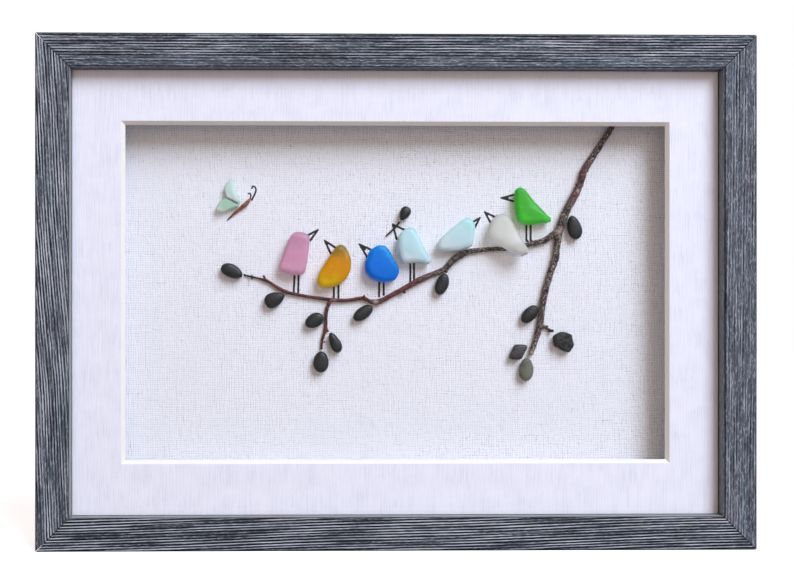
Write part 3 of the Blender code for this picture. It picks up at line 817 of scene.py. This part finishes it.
@dataclass(frozen=True)
class StudioFloor(Coat):
    """A plain white sweep that throws only a little light back at the picture."""

    name: str = "studio floor"
    white: Colour = (0.9, 0.9, 0.9)
    glow: float = 0.75
    bounce: Colour = (0.34, 0.30, 0.29)
    roughness: float = 0.9

    def paint(self, w: Wiring, put: Put) -> None:
        """Wires the finish.

        Args:
            w: The wiring of the finish's nodes.
            put: Sets or links one of the shader's inputs.
        """
        patch = w.use(mottle_group(), Point=w.place(), Size=0.4)
        faint = w.times(patch["Patch"], 0.02)
        put("Base Color", w.blend(faint, self.white, (0.8,) * 3))
        put("Specular IOR Level", 0.0)
        put("Emission Color", (1.0, 1.0, 1.0, 1.0))
        put("Emission Strength", self.glow)
        lit = w.tree.nodes["Principled BSDF"].outputs[0]
        dull = w.add("ShaderNodeBsdfDiffuse", {"Color": (*self.bounce, 1.0)})
        w.put(w.tree.nodes["Material Output"].inputs["Surface"], w.for_camera(dull.outputs[0], lit))


def link(name: str, data: Any) -> Piece:
    """Puts a mesh, lamp or camera into the scene as an object.

    Args:
        name: The object's name.
        data: The mesh, lamp or camera.

    Returns:
        The new object.
    """
    made = bpy.data.objects.new(name, data)
    bpy.context.scene.collection.objects.link(made)
    return made


def shade(shape: Shape, crease: float | None = None) -> None:
    """Shades a shape smoothly, apart from edges that turn by more than the crease, where one is given.

    Args:
        shape: The shape.
        crease: The angle from which an edge stays sharp.
    """
    for face in shape.faces:
        face.smooth = True
    for edge in shape.edges if crease else ():
        edge.smooth = edge.calc_face_angle(0.0) < crease


def add_object(name: str, shape: Shape, material: Material) -> Piece:
    """Turns a shape into a smooth-shaded object at the origin.

    Args:
        name: The object's name.
        shape: The shape in its place. It is freed.
        material: The finish.

    Returns:
        The new object.
    """
    mesh = bpy.data.meshes.new(name)
    shape.to_mesh(mesh)
    shape.free()
    mesh.materials.append(material)
    return link(name, mesh)


def add_piece(name: str, shape: Shape, material: Material, slot: str, *nodes: str) -> None:
    """Adds a piece of the picture that stands for CAD nodes.

    Args:
        name: The piece's name.
        shape: The shape in its place. It is freed.
        material: The finish.
        slot: The record's slot that the finish follows.
        nodes: The CAD nodes that the piece replaces.
    """
    made = add_object(name, shape, material)
    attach(made, BODY)
    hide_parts(*nodes)
    triangles = sum(len(face.vertices) - 2 for face in made.data.polygons)
    log.info("%s: %d triangles, for %s", name, triangles, ", ".join(nodes))


def dress(node: str, material: Material) -> None:
    """Gives a CAD node its finish and leaves its shape alone.

    Args:
        node: The node's name.
        material: The finish.
    """
    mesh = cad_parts[node].data
    mesh.materials.clear()
    mesh.materials.append(material)
    log.info("%s: kept, in %s", node, material.name)


def merged_copy(node: str) -> Shape:
    """A CAD node's skin as one closed shape.

    Args:
        node: The node's name.

    Returns:
        The new shape, shaded smoothly.
    """
    shape = bmesh.new()
    shape.from_mesh(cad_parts[node].data)
    bmesh.ops.remove_doubles(shape, verts=shape.verts, dist=1e-6)
    shade(shape)
    return shape


def netted(shape: Shape, voxel: float) -> Shape:
    """Covers a closed shape with an even net of small squares.

    Args:
        shape: The shape. It is freed.
        voxel: The side of a square.

    Returns:
        The net, in the same place.
    """
    rough = bpy.data.meshes.new("rough")
    shape.to_mesh(rough)
    shape.free()
    carrier = link("rough", rough)
    net = carrier.modifiers.new("net", "REMESH")
    net.mode = "VOXEL"
    net.voxel_size = voxel
    bpy.context.view_layer.update()
    fine = bmesh.new()
    fine.from_object(carrier, bpy.context.evaluated_depsgraph_get())
    bpy.data.objects.remove(carrier)
    bpy.data.meshes.remove(rough)
    shade(fine)
    return fine


def smooth_skin(shape: Shape, passes: int, factor: float = 0.5) -> None:
    """Evens out a net.

    Args:
        shape: The net.
        passes: How many times it is evened out.
        factor: How far a point goes towards its neighbours each time.
    """
    for _ in range(passes):
        bmesh.ops.smooth_vert(
            shape, verts=shape.verts, factor=factor, use_axis_x=True, use_axis_y=True, use_axis_z=True)


def stored(shape: Shape, *names: str) -> list[Any]:
    """New numbers at each point of a shape, as the layers that hold them."""
    return [shape.verts.layers.float.new(name) for name in names]


def carve(shape: Shape, depth: Callable[[Vector, Vector], float]) -> None:
    """Moves each point of a skin inwards.

    Args:
        shape: The shape.
        depth: The depth to go in at a point, from its place and its outward normal.
    """
    shape.normal_update()
    moves = [(vert, vert.normal * depth(vert.co, vert.normal)) for vert in shape.verts]
    for vert, move in moves:
        vert.co -= move


class Side(Enum):
    """The sides of the frame, with the turn about Y that takes a rail there from the bottom."""

    BOTTOM = 0
    LEFT = 90
    TOP = 180
    RIGHT = 270


@dataclass(frozen=True)
class Grain:
    """How the grain runs on one rail, seen with the rail's outside below.

    The slope is that of its lines, the wander and the wiggle are how far they stray over a long and a short
    way, the comb is how clear they are, lit tells which lip of a groove the window lights, and edge is
    where the dark line next to the sight edge lies, measured back from it. Pale is how bare the lip is,
    broad is how much wider its grooves are and how much thinner their lit lips, and calm is how much
    weaker the lines get next to the lip.
    """

    slope: float
    wander: float
    wiggle: float
    comb: float
    lit: float
    edge: float
    pale: float
    broad: float
    calm: float


GRAINS = {
    Side.BOTTOM: Grain(-0.030, 0.6 * MM, 0.05 * MM, 1.65, 0.42, 0.25 * MM, 0.7, 0.45, 0.0),
    Side.LEFT: Grain(-0.067, 1.2 * MM, 0.22 * MM, 1.05, 0.42, 0.25 * MM, 0.85, 0.0, 0.3),
    Side.TOP: Grain(0.0, 0.15 * MM, 0.06 * MM, 0.95, -0.42, 0.25 * MM, 0.0, 0.15, 0.5),
    Side.RIGHT: Grain(0.010, 0.5 * MM, 0.12 * MM, 0.50, -0.42, 0.85 * MM, 0.3, 0.0, 0.0),
}


@dataclass
class Moulding:
    """The four mitred rails, each with raised grain on its face, outside and lip."""

    lip_lap: float = 6.0 * MM
    lip_thickness: float = 6.0 * MM
    arris: float = 0.55 * MM
    step_along: float = 2.0 * MM
    step_face: float = 0.17 * MM
    step_side: float = 0.34 * MM
    step_hidden: float = 4.0 * MM
    crease: float = math.radians(50)
    groove_depth: float = 0.30 * MM
    pitch: float = 1.24 * MM
    fade: float = 0.9 * MM
    bare_from: float = 0.05 * MM
    bare_to: float = 0.25 * MM
    edge_line: Spot = (0.18 * MM, 0.42 * MM)
    outer_line: Spot = (0.40 * MM, 0.75 * MM)
    far_line: Spot = (2.2 * MM, 0.8 * MM)
    inland: Spot = (0.2 * MM, 1.0 * MM)
    wood: GrainedWood = GrainedWood()

    def build(self) -> None:
        """Makes the four rails."""
        material = self.wood.build()
        for side in Side:
            node = f"rail_{side.name.lower()}"
            add_piece(f"grained_{node}", self.rail(node, side), material, "grey_wood", node)

    def rail(self, node: str, side: Side) -> Shape:
        """One rail, shaped along X with its outside at z = 0 and then turned to its side.

        Args:
            node: The CAD node that it stands for.
            side: The side of the frame.

        Returns:
            The rail in its place.
        """
        low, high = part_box(node)
        upright = side in (Side.LEFT, Side.RIGHT)
        length, face = (high.z - low.z, high.x - low.x) if upright else (high.x - low.x, high.z - low.z)
        shape = self.section(face, low.y, high.y, -length / 2)
        steps = math.ceil(length / self.step_along)
        bmesh.ops.spin(
            shape, geom=shape.verts[:] + shape.edges[:], cent=(0, 0, 0), axis=(1, 0, 0),
            dvec=(length / steps, 0, 0), angle=0.0, steps=steps, use_merge=False)
        bmesh.ops.recalc_face_normals(shape, faces=shape.faces)
        self.raise_grain(shape, face, low.y, high.y, side)
        for end in (-1, 1):
            bmesh.ops.bisect_plane(
                shape, geom=shape.verts[:] + shape.edges[:] + shape.faces[:], dist=1e-7,
                plane_co=(end * length / 2, 0, 0), plane_no=(end, 0, 1), clear_outer=True)
        bmesh.ops.edgeloop_fill(shape, edges=[edge for edge in shape.edges if edge.is_boundary])
        bmesh.ops.recalc_face_normals(shape, faces=shape.faces)
        shade(shape, self.crease)
        middle = (low + high) / 2
        place = {
            Side.BOTTOM: Vector((middle.x, 0, low.z)), Side.LEFT: Vector((low.x, 0, middle.z)),
            Side.TOP: Vector((middle.x, 0, high.z)), Side.RIGHT: Vector((high.x, 0, middle.z)),
        }[side]
        turn = Matrix.Translation(place) @ Matrix.Rotation(math.radians(side.value), 4, "Y")
        bmesh.ops.transform(shape, matrix=turn, verts=shape.verts)
        return shape

    def section(self, face: float, front: float, back: float, start: float) -> Shape:
        """The rail's outline in the Y-Z plane, with its front corners eased and its sides divided.

        Args:
            face: The width of the rail's face.
            front, back: The y of the face and of the back.
            start: The x at which the outline stands.

        Returns:
            A closed loop of edges.
        """
        rebate = face - self.lip_lap
        lip_back = front + self.lip_thickness
        corners = [
            (front, 0.0), (front, face), (lip_back, face), (lip_back, rebate), (back, rebate), (back, 0.0)]
        shape = bmesh.new()
        outline = shape.faces.new([shape.verts.new((start, y, z)) for y, z in corners])
        eased = [vert for vert in outline.verts if abs(vert.co.y - front) < NEAR]
        bmesh.ops.bevel(
            shape, geom=eased, offset=self.arris, segments=3, profile=0.5, affect="VERTICES", material=-1)
        for edge in shape.edges[:]:
            middle = (edge.verts[0].co + edge.verts[1].co) / 2
            finished = middle.y < front + NEAR and edge.calc_length() > self.arris * 2
            seen_side = middle.z < NEAR or middle.z > face - NEAR
            step = self.step_face if finished else self.step_side if seen_side else self.step_hidden
            cuts = round(edge.calc_length() / step) - 1
            if cuts > 0:
                bmesh.ops.subdivide_edges(shape, edges=[edge], cuts=cuts)
        bmesh.ops.delete(shape, geom=shape.faces[:], context="FACES_ONLY")
        return shape

    def raise_grain(self, shape: Shape, face: float, front: float, back: float, side: Side) -> None:
        """Cuts the grooves of the grain and stores what the stain needs to know.

        Args:
            shape: The rail before its ends are cut.
            face: The width of its face.
            front, back: The y of the face and of the back.
            side: The side of the frame, which makes the grain its own.
        """
        grain = shape.verts.layers.float_vector.new("grain")
        ridge, crest, lip, stain = stored(shape, "ridge", "crest", "lip", "stain")
        shape.normal_update()
        run = GRAINS[side]
        lip_back = front + self.lip_thickness
        moves = []
        for vert in shape.verts:
            x, y, z = vert.co
            outside = z < NEAR
            on_lip = z > face - NEAR and y < lip_back + NEAR
            covered = 1.0 if (outside or on_lip or y < front + self.arris) else 0.0
            girth = z + (y - front) * (1.0 if z > face / 2 else -1.0)
            to_raw = (back - y) if outside else (lip_back - y) if on_lip else self.fade
            hold = covered * smoothstep(0.0, self.fade, to_raw)
            bare_lip = smoothstep(face - self.bare_from, face + self.bare_to, girth)
            calm = run.calm * smoothstep(0.5 * face, 0.85 * face, girth)
            dark, lit = self.lines(x, girth, side, run.comb * (1.0 - calm))
            edge = 1.0 - smoothstep(*self.edge_line, abs(girth - face + run.edge))
            outer = 1.0 - smoothstep(*self.outer_line, abs(girth))
            far_end = smoothstep(*(self.lip_thickness - end for end in self.far_line), girth - face)
            cut = max(dark * (1.0 - 0.9 * bare_lip), edge) * hold
            vert[grain] = Vector((x, girth, side.value * MM / 2))
            vert[ridge] = max(cut, outer, 0.9 * far_end)
            vert[crest] = lit * hold * (1.0 - bare_lip) * (1.0 - outer)
            vert[lip] = bare_lip * run.pale * (1.0 - far_end)
            vert[stain] = covered
            inland = smoothstep(*self.inland, abs(girth))
            moves.append((vert, vert.normal * (cut * inland * self.groove_depth)))
        for vert, move in moves:
            vert.co -= move

    def lines(self, along: float, girth: float, side: Side, comb: float) -> tuple[float, float]:
        """Where a point lies among the lines of the grain.

        Args:
            along: The place along the rail.
            girth: The place across it, measured round its section.
            side: The side of the frame.
            comb: How clear the lines are there.

        Returns:
            How deep the point lies in a groove and how much it lies on a lit lip, each from 0 to 1.
        """
        run = GRAINS[side]
        seed = side.value / 10.0
        drift = run.wander * ripple(along, girth, 80, 40, seed)
        drift += run.wiggle * ripple(along, girth, 7, 3, seed + 1.0)
        across = girth + drift + run.slope * along
        count = across / self.pitch + 0.2 * ripple(along, across, 60, 3, seed + 2.0)
        groove = math.floor(count + 0.5) * 3.71
        bank = math.floor(count + run.lit) * 2.93
        deep = 0.85 + 1.3 * noise.noise(Vector((along / (38 * MM), groove, seed + 5.0)))
        high = 0.80 + 1.5 * noise.noise(Vector((along / (30 * MM), bank, seed + 6.0)))
        rough = 0.5 * ripple(along, across, 9, 0.5, seed + 8.0)
        grooves = comb * deep * math.cos(math.tau * count) + rough
        banks = comb * high * math.cos(math.tau * (count + run.lit)) - rough
        dark = smoothstep(0.15 - run.broad, 0.95 - run.broad, grooves)
        lit = smoothstep(0.20 + run.broad, 1.0 + run.broad, banks)
        return dark, lit


@dataclass
class Mount:
    """What lies in the rebate: the window mat, its spacers, the canvas and the back board."""

    mat: RibbedCard = RibbedCard()
    canvas: WovenCanvas = WovenCanvas(tuple(INK))
    spacer: Board = Board("spacer card", (0.80, 0.79, 0.77), (0.70, 0.68, 0.65))
    board: Board = Board(
        "hardboard", seen(150, 116, 84), seen(112, 82, 58), fibre_length=2.4 * MM,
        fibre_width=0.5 * MM, roughness=0.7)

    def build(self) -> None:
        """Dresses the boards, whose CAD shapes are right as they are."""
        dress("mat_board", self.mat.build())
        dress("canvas_panel", self.canvas.build())
        dress("back_board", self.board.build())
        card = self.spacer.build()
        for side in Side:
            dress(f"spacer_{side.name.lower()}", card)


@dataclass
class Fastenings:
    """The tabs that hold the back board, and the hanger with its two nails."""

    ease: float = 0.11 * MM
    flat: float = math.radians(1)
    sharp: float = math.radians(40)
    crease: float = math.radians(35)
    steel: ZincSteel = ZincSteel()

    def build(self) -> None:
        """Makes eased copies of the metal parts."""
        material = self.steel.build()
        nodes = [f"tab_{number}" for number in range(1, 9)]
        nodes += ["hanger", "hanger_nail_left", "hanger_nail_right"]
        for node in nodes:
            add_piece(f"eased_{node}", self.eased(node), material, "zinc_steel", node)

    def eased(self, node: str) -> Shape:
        """A metal part with its sharp edges taken off.

        Args:
            node: The part's node.

        Returns:
            The eased shape.
        """
        shape = merged_copy(node)
        bmesh.ops.dissolve_limit(shape, angle_limit=self.flat, verts=shape.verts, edges=shape.edges)
        sharp = [edge for edge in shape.edges if edge.calc_face_angle(0.0) > self.sharp]
        bmesh.ops.bevel(
            shape, geom=sharp, offset=self.ease, segments=2, profile=0.5, affect="EDGES",
            clamp_overlap=True, material=-1)
        shade(shape, self.crease)
        return shape


@dataclass
class WornPiece:
    """One thing from the beach: how finely it is netted and how the sea has dented it."""

    node: str
    voxel: float
    dent: float
    dent_size: float
    nick: float = 0.0
    nick_size: float = 1.0 * MM
    rounding: int = 4
    regain: float = 0.06 * MM

    def shape(self) -> Shape:
        """The worn skin, within a tenth of a millimetre or two of the CAD solid's.

        Returns:
            The skin, with its reach and lean stored at each point.
        """
        low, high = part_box(self.node)
        middle = (low + high) / 2
        seed = Vector((middle.x * 311.0, 4.0, middle.z * 173.0))
        skin = netted(merged_copy(self.node), self.voxel)
        smooth_skin(skin, self.rounding)
        carve(skin, lambda place, _: self.depth(place, seed))
        smooth_skin(skin, 1, 0.35)
        self.store_light(skin, middle, high - low)
        return skin

    def add(self, material: Material, slot: str, start: str = "worn") -> None:
        """Adds the worn skin in place of its node."""
        add_piece(f"{start}_{self.node}", self.shape(), material, slot, self.node)

    def depth(self, place: Vector, seed: Vector) -> float:
        """How deep the skin goes in at a point, less what the rounding took from it.

        Args:
            place: The point.
            seed: Where in the noise the piece lies.

        Returns:
            The depth inwards.
        """
        soft = noise.noise(place / self.dent_size + seed)
        small = max(0.0, noise.noise(place / self.nick_size + seed * 1.7) - 0.1)
        return self.dent * soft + self.nick * small - self.regain

    def store_light(self, skin: Shape, middle: Vector, size: Vector) -> None:
        """Stores how near each point lies to the window side, and how its skin leans that way.

        Args:
            skin: The worn skin.
            middle: The middle of the piece.
            size: The piece's size along each axis.
        """
        reach, lean = stored(skin, "reach", "lean")
        half = (size.x * WINDOW_SIDE.x + size.z * WINDOW_SIDE.z) / 2
        skin.normal_update()
        for vert in skin.verts:
            vert[reach] = 0.5 + 0.5 * (vert.co - middle).dot(WINDOW_SIDE) / half
            vert[lean] = vert.normal.dot(WINDOW_SIDE)


@dataclass
class Flock:
    """The seven glass birds."""

    voxel: float = 0.34 * MM
    glass: tuple[SeaGlass, ...] = (
        SeaGlass("pink sea glass", seen(226, 174, 212), seen(208, 160, 198), seen(238, 188, 224)),
        SeaGlass("amber sea glass", seen(230, 164, 0), seen(136, 124, 54), seen(255, 204, 0)),
        SeaGlass("blue sea glass", seen(0, 138, 252), seen(8, 174, 255), seen(0, 124, 240)),
        SeaGlass("pale blue sea glass", seen(200, 248, 255), seen(184, 240, 255), seen(218, 252, 255), 0.25),
        SeaGlass("aqua sea glass", seen(203, 255, 252), seen(184, 252, 244), seen(224, 255, 250), 0.25),
        SeaGlass("clear sea glass", seen(240, 242, 240), seen(222, 226, 222), seen(250, 252, 250), 0.6),
        SeaGlass("green sea glass", seen(84, 204, 74), seen(70, 172, 66), seen(92, 232, 74)),
    )

    def build(self) -> None:
        """Makes the birds."""
        for finish in self.glass:
            colour = finish.name.split()[0]
            slot = "glass_pale_blue" if colour == "pale" else f"glass_{colour}"
            worn = WornPiece(f"bird_{colour}", self.voxel, 0.22 * MM, 6.5 * MM, 0.12 * MM, 1.6 * MM)
            worn.add(finish.build(), slot)


@dataclass
class Butterfly:
    """Two slivers of pale glass and a sliver of wood."""

    voxel: float = 0.16 * MM
    upper: SeaGlass = SeaGlass(
        "pale green sea glass", seen(208, 242, 236), seen(190, 232, 222), seen(226, 250, 244), 0.25)
    lower: SeaGlass = SeaGlass(
        "sea-green sea glass", seen(188, 226, 214), seen(172, 214, 200), seen(222, 244, 236), 0.4)
    wood: Bark = Bark(
        "brown sliver", seen(150, 92, 62), seen(98, 56, 42), seen(150, 92, 62), seen(98, 56, 42),
        seen(186, 140, 104), seen(20, 16, 16), flecked=0.3)

    def build(self) -> None:
        """Makes the wings and the body."""
        for node, glass in (("wing_upper", self.upper), ("wing_lower", self.lower)):
            WornPiece(node, self.voxel, 0.12 * MM, 3.5 * MM, 0.05 * MM).add(glass.build(), "glass_wing")
        skin = WornPiece("butterfly_body", 0.12 * MM, 0.08 * MM, 1.2 * MM, 0.06 * MM, 0.5 * MM).shape()
        low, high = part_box("butterfly_body")
        (scar,) = stored(skin, "scar")
        for vert in skin.verts:
            vert[scar] = smoothstep(0.30, 0.12, (vert.co.x - low.x) / (high.x - low.x))
        add_piece("worn_butterfly_body", skin, self.wood.build(), "brown_sliver", "butterfly_body")


@dataclass
class Leaves:
    """The thirteen pebbles that stand for leaves and buds."""

    voxel: float = 0.26 * MM
    dark: SeaStone = SeaStone(
        "dark pebble", seen(27, 29, 30), seen(74, 76, 78), seen(16, 16, 18), roughness=0.48)
    broken: SeaStone = SeaStone(
        "broken pebble", seen(38, 41, 38), seen(84, 90, 84), seen(14, 14, 15), veined=0.7,
        bump=0.16 * MM)
    grey: SeaStone = SeaStone(
        "grey pebble", seen(52, 52, 56), seen(116, 112, 118), seen(24, 22, 24), veined=0.35)
    olive: SeaStone = SeaStone(
        "olive pebble", seen(94, 96, 88), seen(136, 138, 130), seen(40, 42, 38), veined=0.3)

    def build(self) -> None:
        """Makes the pebbles."""
        finishes = {11: self.broken, 12: self.grey, 13: self.olive}
        slots = {12: "grey_pebble", 13: "olive_pebble"}
        built = {number: finish.build() for number, finish in finishes.items()}
        usual = self.dark.build()
        for number in range(1, 14):
            rough = number == 11
            worn = WornPiece(
                f"pebble_{number:02d}", self.voxel, (0.3 if rough else 0.16) * MM,
                (1.6 if rough else 4.0) * MM, (0.5 if rough else 0.08) * MM, (0.9 if rough else 1.3) * MM,
                rounding=3 if rough else 10, regain=0.12 * MM)
            slot = slots.get(number, "dark_pebble")
            worn.add(built.get(number, usual), slot)


@dataclass(frozen=True)
class Knot:
    """A swelling or scar of the twig, in millimetres from the middle of the window."""

    x: float
    z: float
    reach: float
    swell: float
    dark: float = 0.0
    pale: float = 0.0


@dataclass(frozen=True)
class Bud:
    """A bud on the twig: its middle, its length and half width, and the way that it points."""

    x: float
    z: float
    length: float
    half_width: float
    angle: float


@dataclass
class Twig:
    """The branching twig and the sprig in a bird's beak."""

    voxel: float = 0.27 * MM
    knots: tuple[Knot, ...] = (
        Knot(95.3, 66.8, 1.0, 0.08, dark=1.0), Knot(86.2, 51.3, 1.1, 0.08, dark=1.0),
        Knot(84.4, 47.0, 0.7, 0.10, pale=0.8),
        Knot(79.3, 37.6, 0.9, 0.14, dark=0.8), Knot(77.4, 32.2, 0.9, 0.14, dark=0.9),
        Knot(74.7, 16.6, 0.9, 0.18, dark=1.0), Knot(71.3, 10.3, 0.9, 0.12, dark=0.8),
        Knot(70.3, 1.0, 1.0, 0.16, dark=1.0), Knot(69.2, -8.6, 0.9, 0.14, pale=0.5),
        Knot(75.5, 28.3, 1.2, 0.10, pale=1.0), Knot(69.9, 24.1, 1.0, 0.14, dark=0.7),
        Knot(57.5, 21.6, 1.0, 0.10, dark=0.4, pale=0.4), Knot(44.0, 20.2, 0.8, 0.12, dark=0.9),
        Knot(38.4, 19.8, 0.8, 0.12, dark=0.5), Knot(31.0, 17.6, 1.5, 0.18, dark=0.6),
        Knot(27.4, 15.0, 1.2, 0.18, dark=0.8, pale=0.3), Knot(24.6, 12.4, 0.9, 0.14, dark=0.8),
        Knot(12.4, 9.6, 1.0, 0.10, pale=0.9), Knot(11.0, 5.6, 1.1, 0.14),
        Knot(-8.7, -4.1, 1.3, 0.16, pale=0.8), Knot(-27.4, -3.4, 1.2, 0.14, pale=0.3),
        Knot(-50.0, 0.6, 0.9, 0.12), Knot(-59.0, 5.6, 1.1, 0.14),
        Knot(-66.0, 7.6, 3.6, 0.0, dark=1.0), Knot(63.3, -27.6, 1.2, 0.0, pale=0.9),
        Knot(69.4, -15.2, 1.3, 0.20, dark=0.3, pale=0.3), Knot(72.0, -17.2, 1.3, 0.22, dark=0.7),
    )
    buds: tuple[Bud, ...] = (
        Bud(88.2, 58.6, 1.7, 0.5, 150), Bud(-59.6, 7.2, 2.6, 0.55, 112), Bud(-13.8, -1.6, 1.7, 0.6, 80),
        Bud(4.7, 0.6, 1.9, 0.65, -70),
        Bud(23.9, 10.2, 1.9, 0.65, -40), Bud(-32.0, -22.4, 1.6, 0.4, 40), Bud(83.8, 50.2, 1.5, 0.35, 150),
        Bud(80.9, 37.4, 1.4, 0.4, -20), Bud(77.2, 29.6, 1.5, 0.5, -40), Bud(56.8, 20.0, 1.7, 0.45, -80),
        Bud(-65.4, 6.9, 1.7, 0.45, -80), Bud(-65.2, 8.1, 1.3, 0.4, 60), Bud(-68.6, 8.2, 1.3, 0.55, 100),
        Bud(70.6, -15.4, 1.5, 0.45, 40), Bud(72.9, -17.4, 1.5, 0.6, -30),
    )
    bark: Bark = Bark(
        "twig bark", seen(60, 46, 46), seen(13, 9, 11), seen(112, 44, 44), seen(30, 11, 14),
        seen(196, 180, 176), seen(14, 10, 12))
    dark_bark: Bark = Bark(
        "sprig bark", seen(46, 40, 40), seen(24, 20, 20), seen(46, 40, 40), seen(24, 20, 20),
        seen(78, 70, 70), seen(14, 12, 12), flecked=0.3)

    def build(self) -> None:
        """Makes the twig and the sprig."""
        skin = netted(self.with_buds(merged_copy("twig")), self.voxel)
        smooth_skin(skin, 3)
        carve(skin, self.depth)
        smooth_skin(skin, 1, 0.3)
        self.store_marks(skin)
        add_piece("barked_twig", skin, self.bark.build(), "bark", "twig")
        sprig = WornPiece("beak_sprig", 0.12 * MM, 0.06 * MM, 1.1 * MM, 0.05 * MM, 0.5 * MM)
        sprig.add(self.dark_bark.build(), "bark", "barked")

    def with_buds(self, shape: Shape) -> Shape:
        """Sets the buds into the twig, to be joined to it by the net.

        Args:
            shape: The twig's skin.

        Returns:
            The same shape, with the buds in it.
        """
        depth = sum((corner.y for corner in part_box("twig")), 0.0) / 2
        for bud in self.buds:
            turn = Matrix.Rotation(math.radians(90 - bud.angle), 4, "Y")
            place = Matrix.Translation((bud.x * MM, depth, bud.z * MM + WINDOW_MIDDLE))
            size = Matrix.Diagonal((bud.half_width * MM, bud.half_width * MM, bud.length / 2 * MM, 1.0))
            bmesh.ops.create_icosphere(shape, subdivisions=2, radius=1.0, matrix=place @ turn @ size)
        return shape

    def closeness(self, place: Vector, knot: Knot) -> float:
        """How close a point is to a knot, from 0 to 1."""
        gap = math.hypot(place.x - knot.x * MM, place.z - knot.z * MM - WINDOW_MIDDLE) / (knot.reach * MM)
        return math.exp(-gap * gap) if gap < 3.0 else 0.0

    def depth(self, place: Vector, _: Vector) -> float:
        """How deep the bark goes in at a point. It is less than nothing where a knot swells.

        Args:
            place: The point.

        Returns:
            The depth inwards.
        """
        age = smoothstep(-20 * MM, 30 * MM, place.x)
        coarse = noise.noise(place / (1.6 * MM))
        fine = noise.noise(place / (0.7 * MM) + Vector((3.0, 1.0, 2.0)))
        bark = (0.08 + 0.16 * age) * coarse + (0.03 + 0.14 * age) * fine
        swell = sum(self.closeness(place, knot) * knot.swell for knot in self.knots)
        return (bark - swell - 0.09) * MM

    def store_marks(self, skin: Shape) -> None:
        """Stores the dark scars and pale flecks of the knots, and where the trunk is ruddy.

        Args:
            skin: The twig's skin.
        """
        scar, pale, ruddy = stored(skin, "scar", "pale", "ruddy")
        for vert in skin.verts:
            height = vert.co.z - WINDOW_MIDDLE
            vert[ruddy] = smoothstep(39 * MM, 45 * MM, height) * smoothstep(63 * MM, 58 * MM, height)
            near = [(self.closeness(vert.co, knot), knot) for knot in self.knots]
            vert[scar] = min(1.0, sum(close * knot.dark for close, knot in near) * 1.4)
            vert[pale] = min(1.0, sum(close * knot.pale for close, knot in near))


@dataclass(frozen=True)
class SoftLight:
    """A soft box: its power, colour and size, and the way to it from the picture."""

    name: str
    power: float
    colour: Colour
    way: tuple[float, float, float]
    size: tuple[float, float]
    distance: float = 2.0

    def hang(self, middle: Vector) -> None:
        """Hangs the light so that it faces the picture's middle.

        Args:
            middle: The middle of the picture.
        """
        lamp = bpy.data.lights.new(self.name, "AREA")
        lamp.shape = "RECTANGLE"
        lamp.size, lamp.size_y = self.size
        lamp.energy = self.power
        lamp.color = self.colour
        holder = link(self.name, lamp)
        way = Vector(self.way).normalized()
        holder.location = middle + way * self.distance
        holder.rotation_euler = (-way).to_track_quat("-Z", "Y").to_euler()


@dataclass
class Studio:
    """The floor, the cool window light, the warm room light, the fill and the camera."""

    floor_radius: float = 3.0
    window: SoftLight = SoftLight(
        "window_light", 91.0, (0.90, 1.0, 1.23), (0.70, -1.0, 1.08), (1.55, 2.0), distance=3.0)
    room: SoftLight = SoftLight("room_light", 4.9, (1.45, 1.0, 0.62), (-0.05, -1.0, 0.02), (1.6, 1.1))
    fill: Colour = (0.275, 0.23, 0.22)
    camera_place: tuple[float, float, float] = (-0.045, -0.4947, 0.1037)
    camera_turn: float = 0.813
    lens: float = 49.152
    shift: tuple[float, float] = (0.1077, 0.0309)
    sensor: float = 36.0

    def build(self) -> None:
        """Sets the stage round the picture."""
        self.lay_floor()
        self.light()
        self.surround()
        self.aim()

    def lay_floor(self) -> None:
        """Lays a round floor under the frame."""
        shape = bmesh.new()
        bmesh.ops.create_circle(shape, cap_ends=True, segments=96, radius=self.floor_radius)
        add_object("studio_floor", shape, StudioFloor().build())

    def light(self) -> None:
        """Hangs the window light up to the right and the room light in front."""
        middle = (CAD_BOX[0] + CAD_BOX[1]) / 2
        self.window.hang(middle)
        self.room.hang(middle)

    def surround(self) -> None:
        """Fills the shadows softly and shows plain white to the camera."""
        world = bpy.data.worlds.new("studio")
        world.use_nodes = True
        bpy.context.scene.world = world
        w = Wiring(world.node_tree)
        white = world.node_tree.nodes["Background"]
        white.inputs["Color"].default_value = (1.0, 1.0, 1.0, 1.0)
        soft = w.add("ShaderNodeBackground", {"Color": self.fill})
        both = w.for_camera(soft.outputs[0], white.outputs[0])
        w.put(world.node_tree.nodes["World Output"].inputs["Surface"], both)
        bpy.context.scene.view_settings.view_transform = "Standard"

    def aim(self) -> None:
        """Puts the camera where the photograph was taken from."""
        camera = bpy.data.cameras.new("camera")
        camera.sensor_width = self.sensor
        camera.lens = self.lens
        camera.shift_x, camera.shift_y = self.shift
        holder = link("camera", camera)
        holder.location = self.camera_place
        holder.rotation_euler = (math.radians(90), 0.0, -math.radians(self.camera_turn))
        bpy.context.scene.camera = holder


def main() -> None:
    """Builds the picture piece by piece, and then its studio."""
    logging.basicConfig(level=logging.INFO, format="%(message)s")
    for part in (Moulding(), Mount(), Fastenings(), Twig(), Flock(), Leaves(), Butterfly(), Studio()):
        part.build()
        log.info("%s: done", type(part).__name__)


if __name__ == "__main__":
    main()
